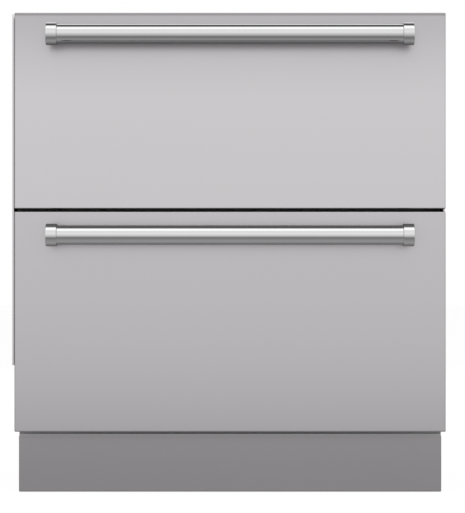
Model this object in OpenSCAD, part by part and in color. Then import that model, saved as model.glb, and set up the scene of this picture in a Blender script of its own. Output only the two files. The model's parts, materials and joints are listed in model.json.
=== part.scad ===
// Undercounter drawer refrigerator: two insulated drawers over a narrower machine base.
// The front faces -Y and +X is to the right. The origin is on the floor, under the middle
// of the whole object. All sizes are in millimetres.

/* [Overall] */
// Width over the two side trims
unit_w = 762; // [740:1:800]
// Height with the levelling legs run in
unit_h = 848; // [830:1:900]
// Depth from the face of the panels to the back
body_d = 610; // [595:1:660]

/* [Panels] */
// Side trim that shows to the left of the panels
reveal_left = 6; // [3:0.5:12]
// Side trim that shows to the right of the panels
reveal_right = 1; // [0:0.5:8]
// Depth of a folded panel over its returns
panel_t = 19; // [16:0.5:25]
// Sheet thickness of the panels and the toe kick
skin_t = 1.2; // [0.8:0.1:2]
// Outer radius of the folds
fold_r = 2; // [1.5:0.1:4]
// Width of the lips folded in behind a panel
panel_lip = 14; // [10:1:24]
// Height of the toe space under the lower panel
toe_h = 114.5; // [106:0.5:125]
// Height of the lower panel
lower_panel_h = 385.5; // [370:0.5:400]
// Gap between the two panels
panel_gap = 5; // [3:0.5:8]

/* [Handles] */
// Distance of each handle end from the side of its panel
handle_inset = 59.5; // [45:0.5:90]
// Diameter of the handle bar
bar_d = 33; // [26:0.5:36]
// Wall of the handle tube
bar_wall = 2; // [1.5:0.1:3]
// Step from the bar up to the collar at each end
collar_step = 3; // [2:0.25:5]
// Length of each collar
collar_len = 19; // [17:0.5:30]
// Thickness of the closed end of a collar
collar_cap = 4; // [3:0.5:6]
// Diameter of the stem behind each collar
stem_d = 17; // [14:0.5:18]
// Diameter of the foot of a stem on the panel
stem_foot_d = 28; // [24:1:40]
// Handle axis below the top edge of its panel
handle_drop = 41.5; // [30:0.5:60]
// Reach of a handle in front of its panel
handle_reach = 63.5; // [58:0.5:75]
// Diameter of the handle screws
screw_d = 6; // [5:0.5:7]

/* [Insulated fronts] */
// Thickness of an insulated drawer front
front_t = 42; // [36:1:50]
// Clearance of a front to the side trims
front_side_gap = 6; // [4:0.5:10]
// Room for the gasket between a front and the cabinet
seal_gap = 9; // [8:0.5:12]
// Width of the gasket ring
gasket_w = 15; // [12:0.5:16]
// Distance of the gasket from the edge of its opening
gasket_edge = 3; // [2:0.5:4]
// Distance of the raised front liner from the edge of its opening
plug_inset = 30; // [29:1:45]
// Reach of the raised front liner into the cabinet
plug_reach = 12; // [6:1:16]

/* [Cabinet] */
// Underside of the insulated cabinet above the floor
cabinet_z = 230; // [222:1:236]
// Thickness of the side trims
trim_t = 3; // [2:0.5:4]
// Overlap of a side trim with the cabinet side
trim_overlap = 25; // [20:1:40]
// Diameter of the mounting holes in the side trims
mount_hole_d = 4.5; // [3.5:0.1:6]
// Height difference between the two mounting holes of a trim
mount_hole_pitch = 480; // [400:10:540]
// Steel sheet of the cabinet
sheet_t = 1; // [0.8:0.1:1.5]
// Wall of the plastic liner
liner_t = 2; // [1.5:0.1:3]
// Insulated side wall, between steel and liner
side_ins = 38; // [34:1:44]
// Insulated top wall
top_ins = 40; // [34:1:46]
// Insulated floor
floor_ins = 42; // [36:1:48]
// Insulated back wall
back_ins = 45; // [38:1:50]
// Height of the rail between the two openings
mullion_h = 44; // [42:1:54]
// Corner radius of the compartments
cavity_r = 12; // [8:1:20]
// Width of the duct between the compartments
duct_w = 160; // [120:5:220]

/* [Slides] */
// How far a drawer opens
drawer_travel = 400; // [320:10:410]
// Height of the cabinet member of a slide
slide_h = 46; // [42:1:52]
// Sheet thickness of the slide members
slide_t = 1.6; // [1.2:0.1:2]
// Width of the flanges of a slide member
slide_flange = 11; // [10:0.5:13]
// Diameter of the balls
ball_d = 4; // [3:0.5:5]
// Clearance of a ball to each of its races
ball_gap = 0.1; // [0.05:0.05:0.2]
// Thickness of the ball cages
cage_t = 0.8; // [0.6:0.1:1]
// Balls in each row of a cage
ball_count = 9; // [5:1:14]
// Centre of a slide below the top of its compartment
slide_drop = 75; // [68:1:85]
// Height of the carrier shelf above its slide
shelf_rise = 8; // [6:1:12]

/* [Bins] */
// Wall of the drawer bins
bin_wall = 2.5; // [2:0.25:4]
// Clearance of a bin to the floor of its compartment
bin_floor_gap = 12; // [8:1:20]
// Draw-in of a bin side from rim to floor
bin_draft = 8; // [4:1:14]
// Corner radius of a bin at its rim
bin_r = 26; // [18:1:34]
// Ribs under the floor of a bin
bin_ribs = 6; // [3:1:9]

/* [Cold air] */
// Depth of the space behind the air covers
cover_depth = 55; // [52:1:64]
// Diameter of the evaporator fan
cold_fan_d = 104; // [90:1:112]
// Width of the evaporator
evaporator_w = 460; // [380:10:520]
// Spacing of the evaporator fins
evaporator_pitch = 14; // [10:1:24]

/* [Controls] */
// Width of the control housing
control_w = 320; // [260:5:400]
// Height of the control housing
control_h = 18; // [16:1:22]
// Diameter of the push buttons
button_d = 10; // [8:0.5:12]
// Travel of the push buttons
button_travel = 1; // [0.5:0.1:1.5]
// Spacing of the push buttons
button_pitch = 26; // [20:1:34]

/* [Machine base] */
// Set-back of the base from the side trims on each side
base_inset = 15; // [10:1:24]
// Set-back of the toe kick from the face of the panels
kick_setback = 76; // [60:1:90]
// Height of the toe kick
kick_h = 102; // [90:1:104]
// Clearance of the toe kick to the floor
kick_floor_gap = 1; // [0.5:0.5:6]
// Underside of the base above the floor, legs run in
base_z = 24; // [23:1:32]
// Sheet thickness of the base
base_t = 2; // [1.5:0.1:2.5]
// Diameter of a levelling foot
foot_d = 40; // [32:1:50]
// Diameter of the levelling screws
leg_d = 10; // [8:1:12]
// Radial clearance of a levelling screw in its socket
leg_clear = 0.05; // [0.02:0.01:0.1]
// How far a levelling leg runs out
leg_travel = 25; // [15:1:25]
// Diameter of the compressor
compressor_d = 150; // [130:1:160]
// Height of the compressor above its feet
compressor_h = 158; // [140:1:164]
// Diameter of the condenser fan
hot_fan_d = 140; // [120:1:150]
// Width of the condenser
condenser_w = 330; // [260:10:350]
// Spacing of the condenser fins
condenser_pitch = 12; // [9:1:20]
// Blades of each fan
blade_count = 5; // [3:1:7]

/* [Hidden] */
$fn = 48;
eps = 0.01;
skirt = 1;       // how far a cutter reaches past the face that it cuts
joint_gap = 0.3; // between pieces that meet along a curve or across a joint
shaft_gap = 0.05;

// planes from front to back
front_y = -(body_d + handle_reach) / 2;
face_y = front_y + handle_reach;
panel_y = face_y + panel_t;
plate_y = panel_y + front_t;
cab_y = plate_y + seal_gap;
rear_y = face_y + body_d;
bead_h = 2;
back_y = rear_y - bead_h - sheet_t;
frame_t = 1.2;
liner_y = cab_y + frame_t;
cavity_y1 = back_y - back_ins;
cover_y = cavity_y1 - cover_depth;

// planes from side to side
half_w = unit_w / 2;
cab_hw = half_w - trim_t;
cavity_hw = cab_hw - sheet_t - side_ins;
front_hw = cab_hw - front_side_gap;
panel_x0 = -half_w + reveal_left;
panel_w = unit_w - reveal_left - reveal_right;
panel_xc = panel_x0 + panel_w / 2;

// levels
lower_top = toe_h + lower_panel_h;
upper_z = lower_top + panel_gap;
upper_panel_h = unit_h - upper_z;
split_z = lower_top + panel_gap / 2;
upper_floor = split_z + mullion_h / 2;
upper_ceiling = unit_h - sheet_t - top_ins;
lower_floor = cabinet_z + sheet_t + floor_ins;
lower_ceiling = split_z - mullion_h / 2;
upper_slide_z = upper_ceiling - slide_drop;
lower_slide_z = lower_ceiling - slide_drop;
front_split_gap = 8;
front_edge_gap = 3;

// each drawer: [panel bottom, panel height, front bottom, front top, cavity floor, ceiling, slide level]
UPPER = [upper_z, upper_panel_h, split_z + front_split_gap / 2, unit_h - front_edge_gap,
         upper_floor, upper_ceiling, upper_slide_z];
LOWER = [toe_h, lower_panel_h, cabinet_z + front_edge_gap, split_z - front_split_gap / 2,
         lower_floor, lower_ceiling, lower_slide_z];

// handles
bar_r = bar_d / 2;
collar_r = bar_r + collar_step;
handle_len = panel_w - 2 * handle_inset;
handle_y = front_y + collar_r;
stem_x = [-handle_len / 2 + collar_len / 2, handle_len / 2 - collar_len / 2];
thread_depth = 14;
screw_head_h = 4;
stiffener_w = 60;
stiffener_t = 2;

// drawer front liner
plate_t = 2.5;
plate_rim = gasket_edge + gasket_w + 1;
plug_y1 = cab_y + plug_reach;
plug_r = 18;

// slides: x is measured inwards from the liner wall
race_h = ball_d + 2 * ball_gap;
web_gap = cage_t + 1;
member_step = slide_t + web_gap;
member_drop = slide_t + race_h;
mid_h = slide_h - 2 * member_drop;
inner_h = mid_h - 2 * member_drop;
slide_y0 = cab_y + 6;
slide_y1 = cover_y - 10;
rail_y0 = plate_y + plate_t;
rail_y1 = slide_y1 - 8;
mid_y0 = slide_y0 + 4;
mid_y1 = slide_y1 - 5;
cage_margin = 5;
cage_y0 = slide_y0 + drawer_travel / 4 + cage_margin;
cage_y1 = rail_y1 - drawer_travel / 4 - cage_margin;
inner_x = 2 * member_step + slide_flange;
carrier_t = 2;
carrier_x = inner_x + carrier_t;

// bins
bin_hw = cavity_hw - carrier_x - 1;
rim_hw = cavity_hw - 5;
rim_t = 3;
bin_y0 = plug_y1 + 3;
bin_y1 = rail_y1 + 4;

// cold side
cover_t = 2.5;
cover_side_gap = 0.5;
side_slots_x = 210;
side_slots_h = 46;
fan_depth = 18;
motor_d = 50;
motor_len = 22;
cold_fan_z = upper_ceiling - 14 - cold_fan_d / 2;
cold_fan_y = cover_y + cover_t + 3;
cold_motor_y = cold_fan_y + fan_depth * 0.8 + 4;
duct_y = 30;
tube_r = 4;
fin_t = 0.8;
evaporator_pitch_z = 22;
evaporator_layer = 20;
evaporator_lift = 22;
evaporator_head = 16;
evaporator_z0 = upper_floor + evaporator_lift;
evaporator_rows = floor((cold_fan_z - cold_fan_d / 2 - evaporator_head - evaporator_z0) / evaporator_pitch_z);
evaporator_y0 = cover_y + cover_t + 8 + evaporator_pitch_z / 2;
evaporator_end_x = -evaporator_w / 2 + evaporator_pitch_z;

// controls
control_y = liner_y + 6;
control_d = 52;
button_out = 2.5;
button_len = 9;

// base
base_hw = cab_hw - base_inset;
kick_y = face_y + kick_setback;
kick_t = 14;
base_y0 = kick_y + kick_t + 6;
base_y1 = rear_y - bead_h;
leg_x = base_hw - 34;
leg_ys = [base_y0 + 36, base_y1 - 36];
socket_h = 20;
leg_top = base_z + base_t + socket_h + leg_travel / 2;
foot_h = 9;
hex_h = base_z - foot_h - 2;
floor_top = base_z + base_t;
compressor_side = 148;
compressor_back = 140;
compressor_x = compressor_side - base_hw;
compressor_y = base_y1 - compressor_back;
grommet_h = 14;
foot_x = compressor_d / 2 - 8;
foot_y = compressor_d / 2 - 34;
condenser_side = 78;
condenser_front = 50;
condenser_x = base_hw - condenser_w / 2 - condenser_side;
condenser_y = base_y0 + condenser_front;
coil_pitch = 24;
coil_layer = 26;
coil_rows = 6;
coil_end_x = condenser_x - condenser_w / 2 + coil_pitch;
hot_fan_x = condenser_x;
hot_fan_y = condenser_y + coil_layer / 2 + coil_pitch / 2 + 3;
hot_fan_lift = 14;
hot_fan_z = floor_top + hot_fan_lift + hot_fan_d / 2;
shroud_h = hot_fan_d + 36;
shroud_depth = 20;
motor_arm_y = 26;
pan_w = 230;
pan_d = 150;
pan_h = 32;
pan_r = 14;
pan_back = 96;
pan_x0 = hot_fan_x - pan_w / 2 + 40;
pan_y0 = base_y1 - pan_d - pan_back;
louvre_w = 80;
louvre_pitch_x = 110;
louvre_pitch_z = 15;
louvre_h = 6;
louvre_r = 2.9;
louvre_lift = 46;
line_x = -250;
line_y = back_y - 16;
line_z = evaporator_z0 + evaporator_pitch_z / 2;
line_room = 30;
inlet_side = 63;
inlet_x = base_hw - inlet_side;
inlet_drop = 30;
inlet_z = cabinet_z - inlet_drop;
inlet_w = 48;
inlet_h = 26;

steel = [0.78, 0.78, 0.79];
polished = [0.88, 0.88, 0.90];
zinc = [0.62, 0.64, 0.66];
enamel = [0.30, 0.31, 0.33];
white = [0.93, 0.93, 0.92];
grey = [0.55, 0.56, 0.58];
black = [0.12, 0.12, 0.13];
copper = [0.72, 0.45, 0.28];
foam = [0.90, 0.85, 0.62];

// ---- shared forms ----

// Rounded rectangle with its lower left corner at the origin
module rounded(w, h, r) {
  translate([r, 0]) square([w - 2 * r, h]);
  translate([0, r]) square([w, h - 2 * r]);
  for (x = [r, w - r], y = [r, h - r]) translate([x, y]) circle(r);
}

// Ring between two rounded rectangles, given the inner one and the width of the ring
module rounded_ring(w, h, r, rim) {
  difference() {
    translate([-rim, -rim]) rounded(w + 2 * rim, h + 2 * rim, r + rim);
    rounded(w, h, r);
  }
}

// Stands a flat X-Z outline up as a wall from y to y + t
module wall(y, t) {
  translate([0, y + t, 0]) rotate([90, 0, 0]) linear_extrude(t) children();
}

// Rectangle whose two lower corners are rounded
module low_rounded(w, h, r) {
  translate([0, r]) square([w, h - r]);
  translate([r, 0]) square([w - 2 * r, h]);
  for (x = [r, w - r]) translate([x, r]) circle(r);
}

// Block whose front edges are all rounded, as folded sheet is
module folded_block(w, d, h, r) {
  intersection() {
    linear_extrude(h) low_rounded(w, d, r);
    rotate([90, 0, 90]) linear_extrude(w) rotate(-90) translate([-h, 0]) low_rounded(h, d, r);
  }
}

// Pan of folded sheet, open at the back, with lips folded in
module folded_pan(w, d, h, r, t, lip) {
  difference() {
    folded_block(w, d, h, r);
    translate([t, t, t]) folded_block(w - 2 * t, d - 2 * t, h - 2 * t, max(r - t, 0.3));
    translate([lip, d - 2 * t - eps, lip]) cube([w - 2 * lip, 2 * t + skirt, h - 2 * lip]);
  }
}

// Keeps the children and adds their mirror image on the left
module both_sides() {
  for (side = [0, 1]) mirror([side, 0, 0]) children();
}

// Straight round bar between two points
module rod(a, b, r) {
  d = b - a;
  translate(a) rotate([0, acos(d[2] / norm(d)), atan2(d[1], d[0])]) cylinder(r = r, h = norm(d));
}

function unit(v) = v / norm(v);
function turn_angle(points, i) = i <= 0 || i >= len(points) - 1 ? 0
  : acos(unit(points[i] - points[i - 1]) * unit(points[i + 1] - points[i]));
function setback(points, i, bend) = bend * tan(turn_angle(points, i) / 2);

// Tube along a line of points, with a round bend at each inner point
module bent_tube(points, r, bend) {
  last = len(points) - 1;
  for (i = [0 : last - 1]) {
    way = unit(points[i + 1] - points[i]);
    rod(points[i] + way * setback(points, i, bend), points[i + 1] - way * setback(points, i + 1, bend), r);
  }
  for (i = [1 : last - 1]) {
    way = unit(points[i] - points[i - 1]);
    next = unit(points[i + 1] - points[i]);
    out = -unit(next - (next * way) * way);
    up = cross(out, way);
    centre = points[i] - way * setback(points, i, bend) - out * bend;
    multmatrix([for (k = [0 : 2]) [out[k], way[k], up[k], centre[k]]])
      rotate_extrude(angle = turn_angle(points, i)) translate([bend, 0]) circle(r);
  }
}

// ---- drawer fronts ----

module drawer_panel(d) {
  color(steel) difference() {
    translate([panel_x0, face_y, d[0]]) {
      folded_pan(panel_w, panel_t, d[1], fold_r, skin_t, panel_lip);
      for (x = stem_x) {
        translate([panel_w / 2 + x - stiffener_w / 2, skin_t, skin_t])
          cube([stiffener_w, stiffener_t, d[1] - 2 * skin_t]);
      }
    }
    for (x = stem_x) translate([panel_xc + x, face_y - skirt, d[0] + d[1] - handle_drop])
      rotate([-90, 0, 0]) cylinder(d = screw_d + 0.6, h = skin_t + stiffener_t + 2 * skirt);
  }
}

module drawer_front(d) {
  edge_r = 4;
  groove_w = 8;
  groove_d = 3;
  color(black) difference() {
    wall(panel_y, front_t) translate([-front_hw, d[2]]) rounded(2 * front_hw, d[3] - d[2], edge_r);
    // seam groove along each side, where the shell of the front closes
    both_sides() translate([front_hw - groove_d, panel_y + (front_t - groove_w) / 2, d[2] - skirt])
      cube([groove_d + skirt, groove_w, d[3] - d[2] + 2 * skirt]);
  }
}

module drawer_front_liner(d) {
  plug_hw = cavity_hw - plug_inset;
  plug_h = d[5] - d[4] - 2 * plug_inset;
  dish = 34;
  color(white) difference() {
    union() {
      wall(plate_y, plate_t) translate([-cavity_hw - plate_rim, d[4] - plate_rim])
        rounded(2 * (cavity_hw + plate_rim), d[5] - d[4] + 2 * plate_rim, cavity_r);
      wall(plate_y, plug_y1 - plate_y) translate([-plug_hw, d[4] + plug_inset])
        rounded(2 * plug_hw, plug_h, plug_r);
    }
    wall(plug_y1 - 6, 6 + skirt) translate([-plug_hw + dish, d[4] + plug_inset + dish])
      rounded(2 * (plug_hw - dish), plug_h - 2 * dish, plug_r);
  }
}

module drawer_gasket(d) {
  base_y = plate_y + plate_t;
  room = cab_y - joint_gap - base_y;
  foot = 1.6;
  bulb = 2.4;
  color(grey) translate([-cavity_hw, 0, d[4]]) {
    wall(base_y, foot) gasket_ring(d, 0);
    wall(base_y + foot, room - foot - bulb) gasket_ring(d, 4);
    wall(base_y + room - bulb, bulb) gasket_ring(d, 1.5);
  }
}

// Outline of the gasket, drawn in on both sides by some amount
module gasket_ring(d, inset) {
  out = gasket_edge + inset;
  translate([-out, -out]) rounded_ring(2 * (cavity_hw + out), d[5] - d[4] + 2 * out,
    cavity_r + out, gasket_w - 2 * inset);
}

// ---- handles ----

module handle_bar(d) {
  length = handle_len - 2 * collar_cap - 2 * joint_gap;
  color(polished) translate([panel_xc - length / 2, handle_y, d[0] + d[1] - handle_drop])
    rotate([0, 90, 0]) difference() {
      cylinder(r = bar_r, h = length, $fn = 96);
      translate([0, 0, -skirt]) cylinder(r = bar_r - bar_wall, h = length + 2 * skirt);
    }
}

// Collar that closes one end of the bar, and the stem that carries it
module handle_bracket() {
  round_r = 1.2;
  stem_len = face_y - handle_y;
  flare = (stem_foot_d - stem_d) / 2;
  difference() {
    union() {
      rotate([0, 90, 0]) rotate_extrude($fn = 96) {
        square([collar_r - round_r, collar_len]);
        translate([0, round_r]) square([collar_r, collar_len - 2 * round_r]);
        for (z = [round_r, collar_len - round_r]) translate([collar_r - round_r, z]) circle(round_r);
      }
      translate([collar_len / 2, stem_len, 0]) rotate([90, 0, 0]) rotate_extrude() difference() {
        union() {
          square([stem_d / 2, stem_len]);
          square([stem_foot_d / 2, flare + 2]);
        }
        translate([stem_foot_d / 2, flare + 2]) circle(flare);
      }
    }
    translate([collar_cap, 0, 0]) rotate([0, 90, 0])
      cylinder(r = bar_r + shaft_gap, h = collar_len, $fn = 96);
    translate([collar_len / 2, stem_len + skirt, 0]) rotate([90, 0, 0])
      cylinder(r = screw_d / 2 + shaft_gap, h = thread_depth + skirt);
  }
}

module handle_brackets(d) {
  color(polished) translate([panel_xc, handle_y, d[0] + d[1] - handle_drop]) {
    translate([-handle_len / 2, 0, 0]) handle_bracket();
    translate([handle_len / 2, 0, 0]) mirror([1, 0, 0]) handle_bracket();
  }
}

module handle_screws(d) {
  seat_y = face_y + skin_t + stiffener_t;
  color(zinc) for (x = stem_x) translate([panel_xc + x, seat_y, d[0] + d[1] - handle_drop])
    rotate([90, 0, 0]) difference() {
      union() {
        cylinder(d = screw_d, h = seat_y - face_y + thread_depth - 1);
        translate([0, 0, -screw_head_h]) cylinder(d = 2 * screw_d, h = screw_head_h);
      }
      translate([0, 0, -screw_head_h - skirt]) cylinder(d = screw_d, h = 3.5, $fn = 6);
    }
}

// ---- slides ----

// Channel section, open to the left, with its web at x = 0 and its middle at y = 0
module channel(h, w, t, r) {
  difference() {
    translate([-w, -h / 2]) right_rounded(w, h, r);
    translate([-w - skirt, -h / 2 + t]) right_rounded(w + skirt - t, h - 2 * t, max(r - t, 0.3));
  }
}

// Rectangle whose two right corners are rounded
module right_rounded(w, h, r) {
  square([w - r, h]);
  translate([0, r]) square([w, h - 2 * r]);
  for (y = [r, h - r]) translate([w - r, y]) circle(r);
}

module slide_rails(d) {
  hole_ys = [for (k = [0 : 2]) slide_y0 + 40 + k * (slide_y1 - slide_y0 - 80) / 2];
  color(zinc) both_sides() difference() {
    wall(slide_y0, slide_y1 - slide_y0) translate([cavity_hw, d[6]])
      channel(slide_h, slide_flange, slide_t, slide_t + 0.8);
    for (y = hole_ys) translate([cavity_hw - slide_t - skirt, y, d[6]])
      rotate([0, 90, 0]) cylinder(d = 5, h = slide_t + 2 * skirt);
  }
}

module slide_middles(d) {
  color(zinc) both_sides() wall(mid_y0, mid_y1 - mid_y0)
    translate([cavity_hw - member_step, d[6]])
      channel(mid_h, slide_flange, slide_t, slide_t + 0.6);
}

// One ball cage: a thin channel with a row of balls in each of its flanges
module ball_cage(outer_h, web_x) {
  row_z = outer_h / 2 - slide_t - race_h / 2;
  strip_w = slide_flange - 2;
  ball_x = web_x - (slide_flange - slide_t + 1) / 2 - 1;
  pitch = (cage_y1 - cage_y0 - 2 * ball_d) / (ball_count - 1);
  wall(cage_y0, cage_y1 - cage_y0) {
    translate([web_x - cage_t, -row_z - cage_t / 2]) square([cage_t, 2 * row_z + cage_t]);
    for (z = [-row_z, row_z]) translate([web_x - strip_w, z - cage_t / 2])
      square([strip_w, cage_t]);
  }
  for (k = [0 : ball_count - 1], z = [-row_z, row_z])
    translate([ball_x, cage_y0 + ball_d + k * pitch, z]) sphere(d = ball_d, $fn = 24);
}

module outer_cages(d) {
  web_x = cavity_hw - slide_t - (web_gap - cage_t) / 2;
  color("gold") both_sides() translate([0, 0, d[6]]) ball_cage(slide_h, web_x);
}

module inner_cages(d) {
  web_x = cavity_hw - member_step - slide_t - (web_gap - cage_t) / 2;
  color("gold") both_sides() translate([0, 0, d[6]]) ball_cage(mid_h, web_x);
}

// Drawer member of a slide with the carrier rail that holds the bin by its rim
module drawer_carriers(d) {
  member_x = cavity_hw - 2 * member_step;
  leg_x0 = cavity_hw - carrier_x;
  shelf_z = slide_h / 2 + shelf_rise;
  lug_x1 = leg_x0 + carrier_t;
  lug_w = lug_x1 - (cavity_hw - plug_inset) - 1;
  lug_t = 3;
  color(zinc) both_sides() translate([0, 0, d[6]]) {
    wall(rail_y0, rail_y1 - rail_y0) {
      translate([member_x, 0]) channel(inner_h, slide_flange + eps, slide_t, slide_t + 0.4);
      translate([leg_x0, -inner_h / 2]) square([carrier_t, shelf_z + inner_h / 2]);
      translate([leg_x0, shelf_z - carrier_t]) square([rim_hw - leg_x0, carrier_t]);
    }
    // lug that bolts to the drawer front
    difference() {
      wall(rail_y0, lug_t) translate([lug_x1 - lug_w, -slide_h / 2])
        rounded(lug_w, shelf_z + slide_h / 2, lug_t);
      for (z = [-slide_h / 2 + 10, shelf_z - 12])
        translate([lug_x1 - lug_w / 2, rail_y0 - skirt, z]) rotate([-90, 0, 0])
          cylinder(d = 5, h = lug_t + 2 * skirt);
    }
  }
}

// ---- bins ----

// Tapered tub with round corners, wider at its top
module tub(hw, y0, y1, z0, z1, draft, r_top, r_low) {
  hull() {
    for (x = [-hw + r_top, hw - r_top], y = [y0 + r_top, y1 - r_top])
      translate([x, y, z1 - eps]) cylinder(r = r_top, h = eps, $fn = 32);
    for (x = [-hw + draft + r_low, hw - draft - r_low], y = [y0 + draft + r_low, y1 - draft - r_low])
      translate([x, y, z0 + r_low]) sphere(r = r_low, $fn = 32);
  }
}

module drawer_bin(d) {
  low_z = d[4] + bin_floor_gap;
  rim_z = d[6] + slide_h / 2 + shelf_rise;
  rib_h = 3;
  low_r = 16;
  rib_pitch = 2 * (bin_hw - bin_draft - 40) / (bin_ribs - 1);
  color(white, 0.9) difference() {
    union() {
      tub(bin_hw, bin_y0, bin_y1, low_z + rib_h, rim_z + rim_t, bin_draft, bin_r, low_r);
      translate([-rim_hw, bin_y0, rim_z]) linear_extrude(rim_t)
        rounded(2 * rim_hw, bin_y1 - bin_y0, bin_r);
      for (k = [0 : bin_ribs - 1])
        translate([(k - (bin_ribs - 1) / 2) * rib_pitch - 1.5, bin_y0 + 50, low_z])
          cube([3, bin_y1 - bin_y0 - 100, rib_h + bin_wall]);
    }
    tub(bin_hw - bin_wall, bin_y0 + bin_wall, bin_y1 - bin_wall, low_z + rib_h + bin_wall,
      rim_z + rim_t + skirt, bin_draft, bin_r - bin_wall, low_r - bin_wall);
  }
}

// ---- cabinet ----

module cabinet_wrapper() {
  length = back_y - cab_y;
  color(enamel) difference() {
    translate([0, cab_y, 0]) difference() {
      translate([-cab_hw, 0, cabinet_z]) cube([2 * cab_hw, length, unit_h - cabinet_z]);
      translate([-cab_hw + sheet_t, -skirt, cabinet_z + sheet_t])
        cube([2 * (cab_hw - sheet_t), length + 2 * skirt, unit_h - cabinet_z - 2 * sheet_t]);
    }
    // passage of the refrigerant lines through the cabinet floor
    translate([line_x - line_room / 2, line_y - 14, cabinet_z - skirt])
      cube([line_room, 22, sheet_t + 2 * skirt]);
  }
}

module cabinet_back() {
  bead_r = 7;
  bead_off = bead_r - bead_h;
  height = unit_h - cabinet_z;
  color(zinc) {
    wall(back_y, sheet_t) translate([-cab_hw, cabinet_z]) square([2 * cab_hw, height]);
    // pressed stiffening beads
    for (x = [-cab_hw * 0.55, 0, cab_hw * 0.55]) intersection() {
      translate([x, back_y + sheet_t - bead_off, cabinet_z + 50])
        cylinder(r = bead_r, h = height - 100);
      translate([x - bead_r, back_y + sheet_t / 2, cabinet_z]) cube([2 * bead_r, bead_r, height]);
    }
  }
}

// Outline of one compartment opening
module opening(d, grow) {
  translate([-cavity_hw - grow, d[4] - grow])
    rounded(2 * (cavity_hw + grow), d[5] - d[4] + 2 * grow, cavity_r + grow);
}

module face_frame() {
  inner_hw = cab_hw - sheet_t;
  color(enamel) wall(cab_y, frame_t) difference() {
    translate([-inner_hw, cabinet_z + sheet_t]) square([2 * inner_hw, unit_h - cabinet_z - 2 * sheet_t]);
    opening(UPPER, 0);
    opening(LOWER, 0);
  }
}

module liner_flange() {
  rim = 10;
  translate([-cavity_hw - rim, lower_floor - rim])
    rounded(2 * (cavity_hw + rim), upper_ceiling - lower_floor + 2 * rim, cavity_r);
}

module cabinet_liner() {
  duct_y0 = cavity_y1 - duct_y - 8;
  line_hole_d = 22;
  color(white) difference() {
    union() {
      wall(liner_y, liner_t) liner_flange();
      for (d = [UPPER, LOWER]) wall(liner_y, cavity_y1 + liner_t - liner_y) opening(d, liner_t);
      translate([-duct_w / 2 - liner_t, duct_y0 - liner_t, lower_ceiling])
        cube([duct_w + 2 * liner_t, duct_y + 2 * liner_t, mullion_h]);
    }
    for (d = [UPPER, LOWER]) wall(liner_y - skirt, cavity_y1 - liner_y + skirt) opening(d, 0);
    translate([-duct_w / 2, duct_y0, lower_ceiling - liner_t - skirt])
      cube([duct_w, duct_y, mullion_h + 2 * (liner_t + skirt)]);
    translate([line_x - 4, cavity_y1 - skirt, line_z]) rotate([-90, 0, 0])
      cylinder(d = line_hole_d, h = liner_t + 2 * skirt);
  }
}

module cabinet_foam() {
  inner_hw = cab_hw - sheet_t;
  duct_y0 = cavity_y1 - duct_y - 8;
  gap = liner_t + joint_gap;
  color(foam) difference() {
    translate([-inner_hw, liner_y + liner_t + joint_gap, cabinet_z + sheet_t])
      cube([2 * inner_hw, back_y - liner_y - liner_t - joint_gap, unit_h - cabinet_z - 2 * sheet_t]);
    for (d = [UPPER, LOWER]) wall(liner_y, cavity_y1 + gap - liner_y) opening(d, gap);
    translate([-duct_w / 2 - gap, duct_y0 - gap, lower_ceiling - gap])
      cube([duct_w + 2 * gap, duct_y + 2 * gap, mullion_h + 2 * gap]);
    // channel of the refrigerant lines
    translate([line_x - line_room / 2, line_y - 14, cabinet_z])
      cube([line_room, 22, line_z + line_room / 2 - cabinet_z]);
    translate([line_x - line_room / 2, cavity_y1, line_z - line_room / 2])
      cube([line_room, line_y - cavity_y1, line_room]);
  }
}

module side_trim() {
  trim_y0 = panel_y + 1;
  trim_y1 = cab_y + trim_overlap;
  hole_y = panel_y + front_t / 2;
  color(steel) difference() {
    translate([cab_hw, trim_y0, cabinet_z]) cube([trim_t, trim_y1 - trim_y0, unit_h - cabinet_z]);
    for (z = [-0.5, 0.5]) translate([cab_hw - skirt, hole_y, (cabinet_z + unit_h) / 2 + z * mount_hole_pitch])
      rotate([0, 90, 0]) cylinder(d = mount_hole_d, h = trim_t + 2 * skirt);
  }
}

module left_side_trim() {
  mirror([1, 0, 0]) side_trim();
}

module right_side_trim() {
  side_trim();
}

// ---- controls and lights ----

module control_housing() {
  top = upper_ceiling;
  window_w = 54;
  color(grey) difference() {
    translate([-control_w / 2, control_y, top - control_h]) rotate([90, 0, 90])
      linear_extrude(control_w) control_section();
    for (k = [-1 : 1]) button_place(k) translate([0, 0, -button_out - skirt])
      cylinder(d = button_d + 0.8, h = button_len + button_travel + button_out + skirt);
    translate([control_w / 4 - window_w / 2, control_y - skirt, top - control_h + 4])
      cube([window_w, skirt + 1.5, control_h - 8]);
  }
}

// Side view of the control housing: a flat face, a rounded lower edge and a rising underside
module control_section() {
  nose_r = 3;
  difference() {
    square([control_d, control_h]);
    polygon([[control_h, -skirt], [control_d + skirt, -skirt], [control_d + skirt, control_h * 0.6]]);
    difference() {
      translate([-skirt, -skirt]) square(nose_r + skirt);
      translate([nose_r, nose_r]) circle(nose_r);
    }
  }
}

// Puts its children at button k, facing into the housing
module button_place(k) {
  translate([k * button_pitch - control_w / 6, control_y, upper_ceiling - control_h / 2])
    rotate([-90, 0, 0]) children();
}

module push_button(k) {
  color(black) button_place(k) translate([0, 0, -button_out]) rotate_extrude() {
    dome_r = 1.5;
    square([button_d / 2 - dome_r, button_len]);
    translate([0, dome_r]) square([button_d / 2, button_len - dome_r]);
    translate([button_d / 2 - dome_r, dome_r]) circle(dome_r);
  }
}

module power_button() {
  push_button(-1);
}

module colder_button() {
  push_button(0);
}

module warmer_button() {
  push_button(1);
}

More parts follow.
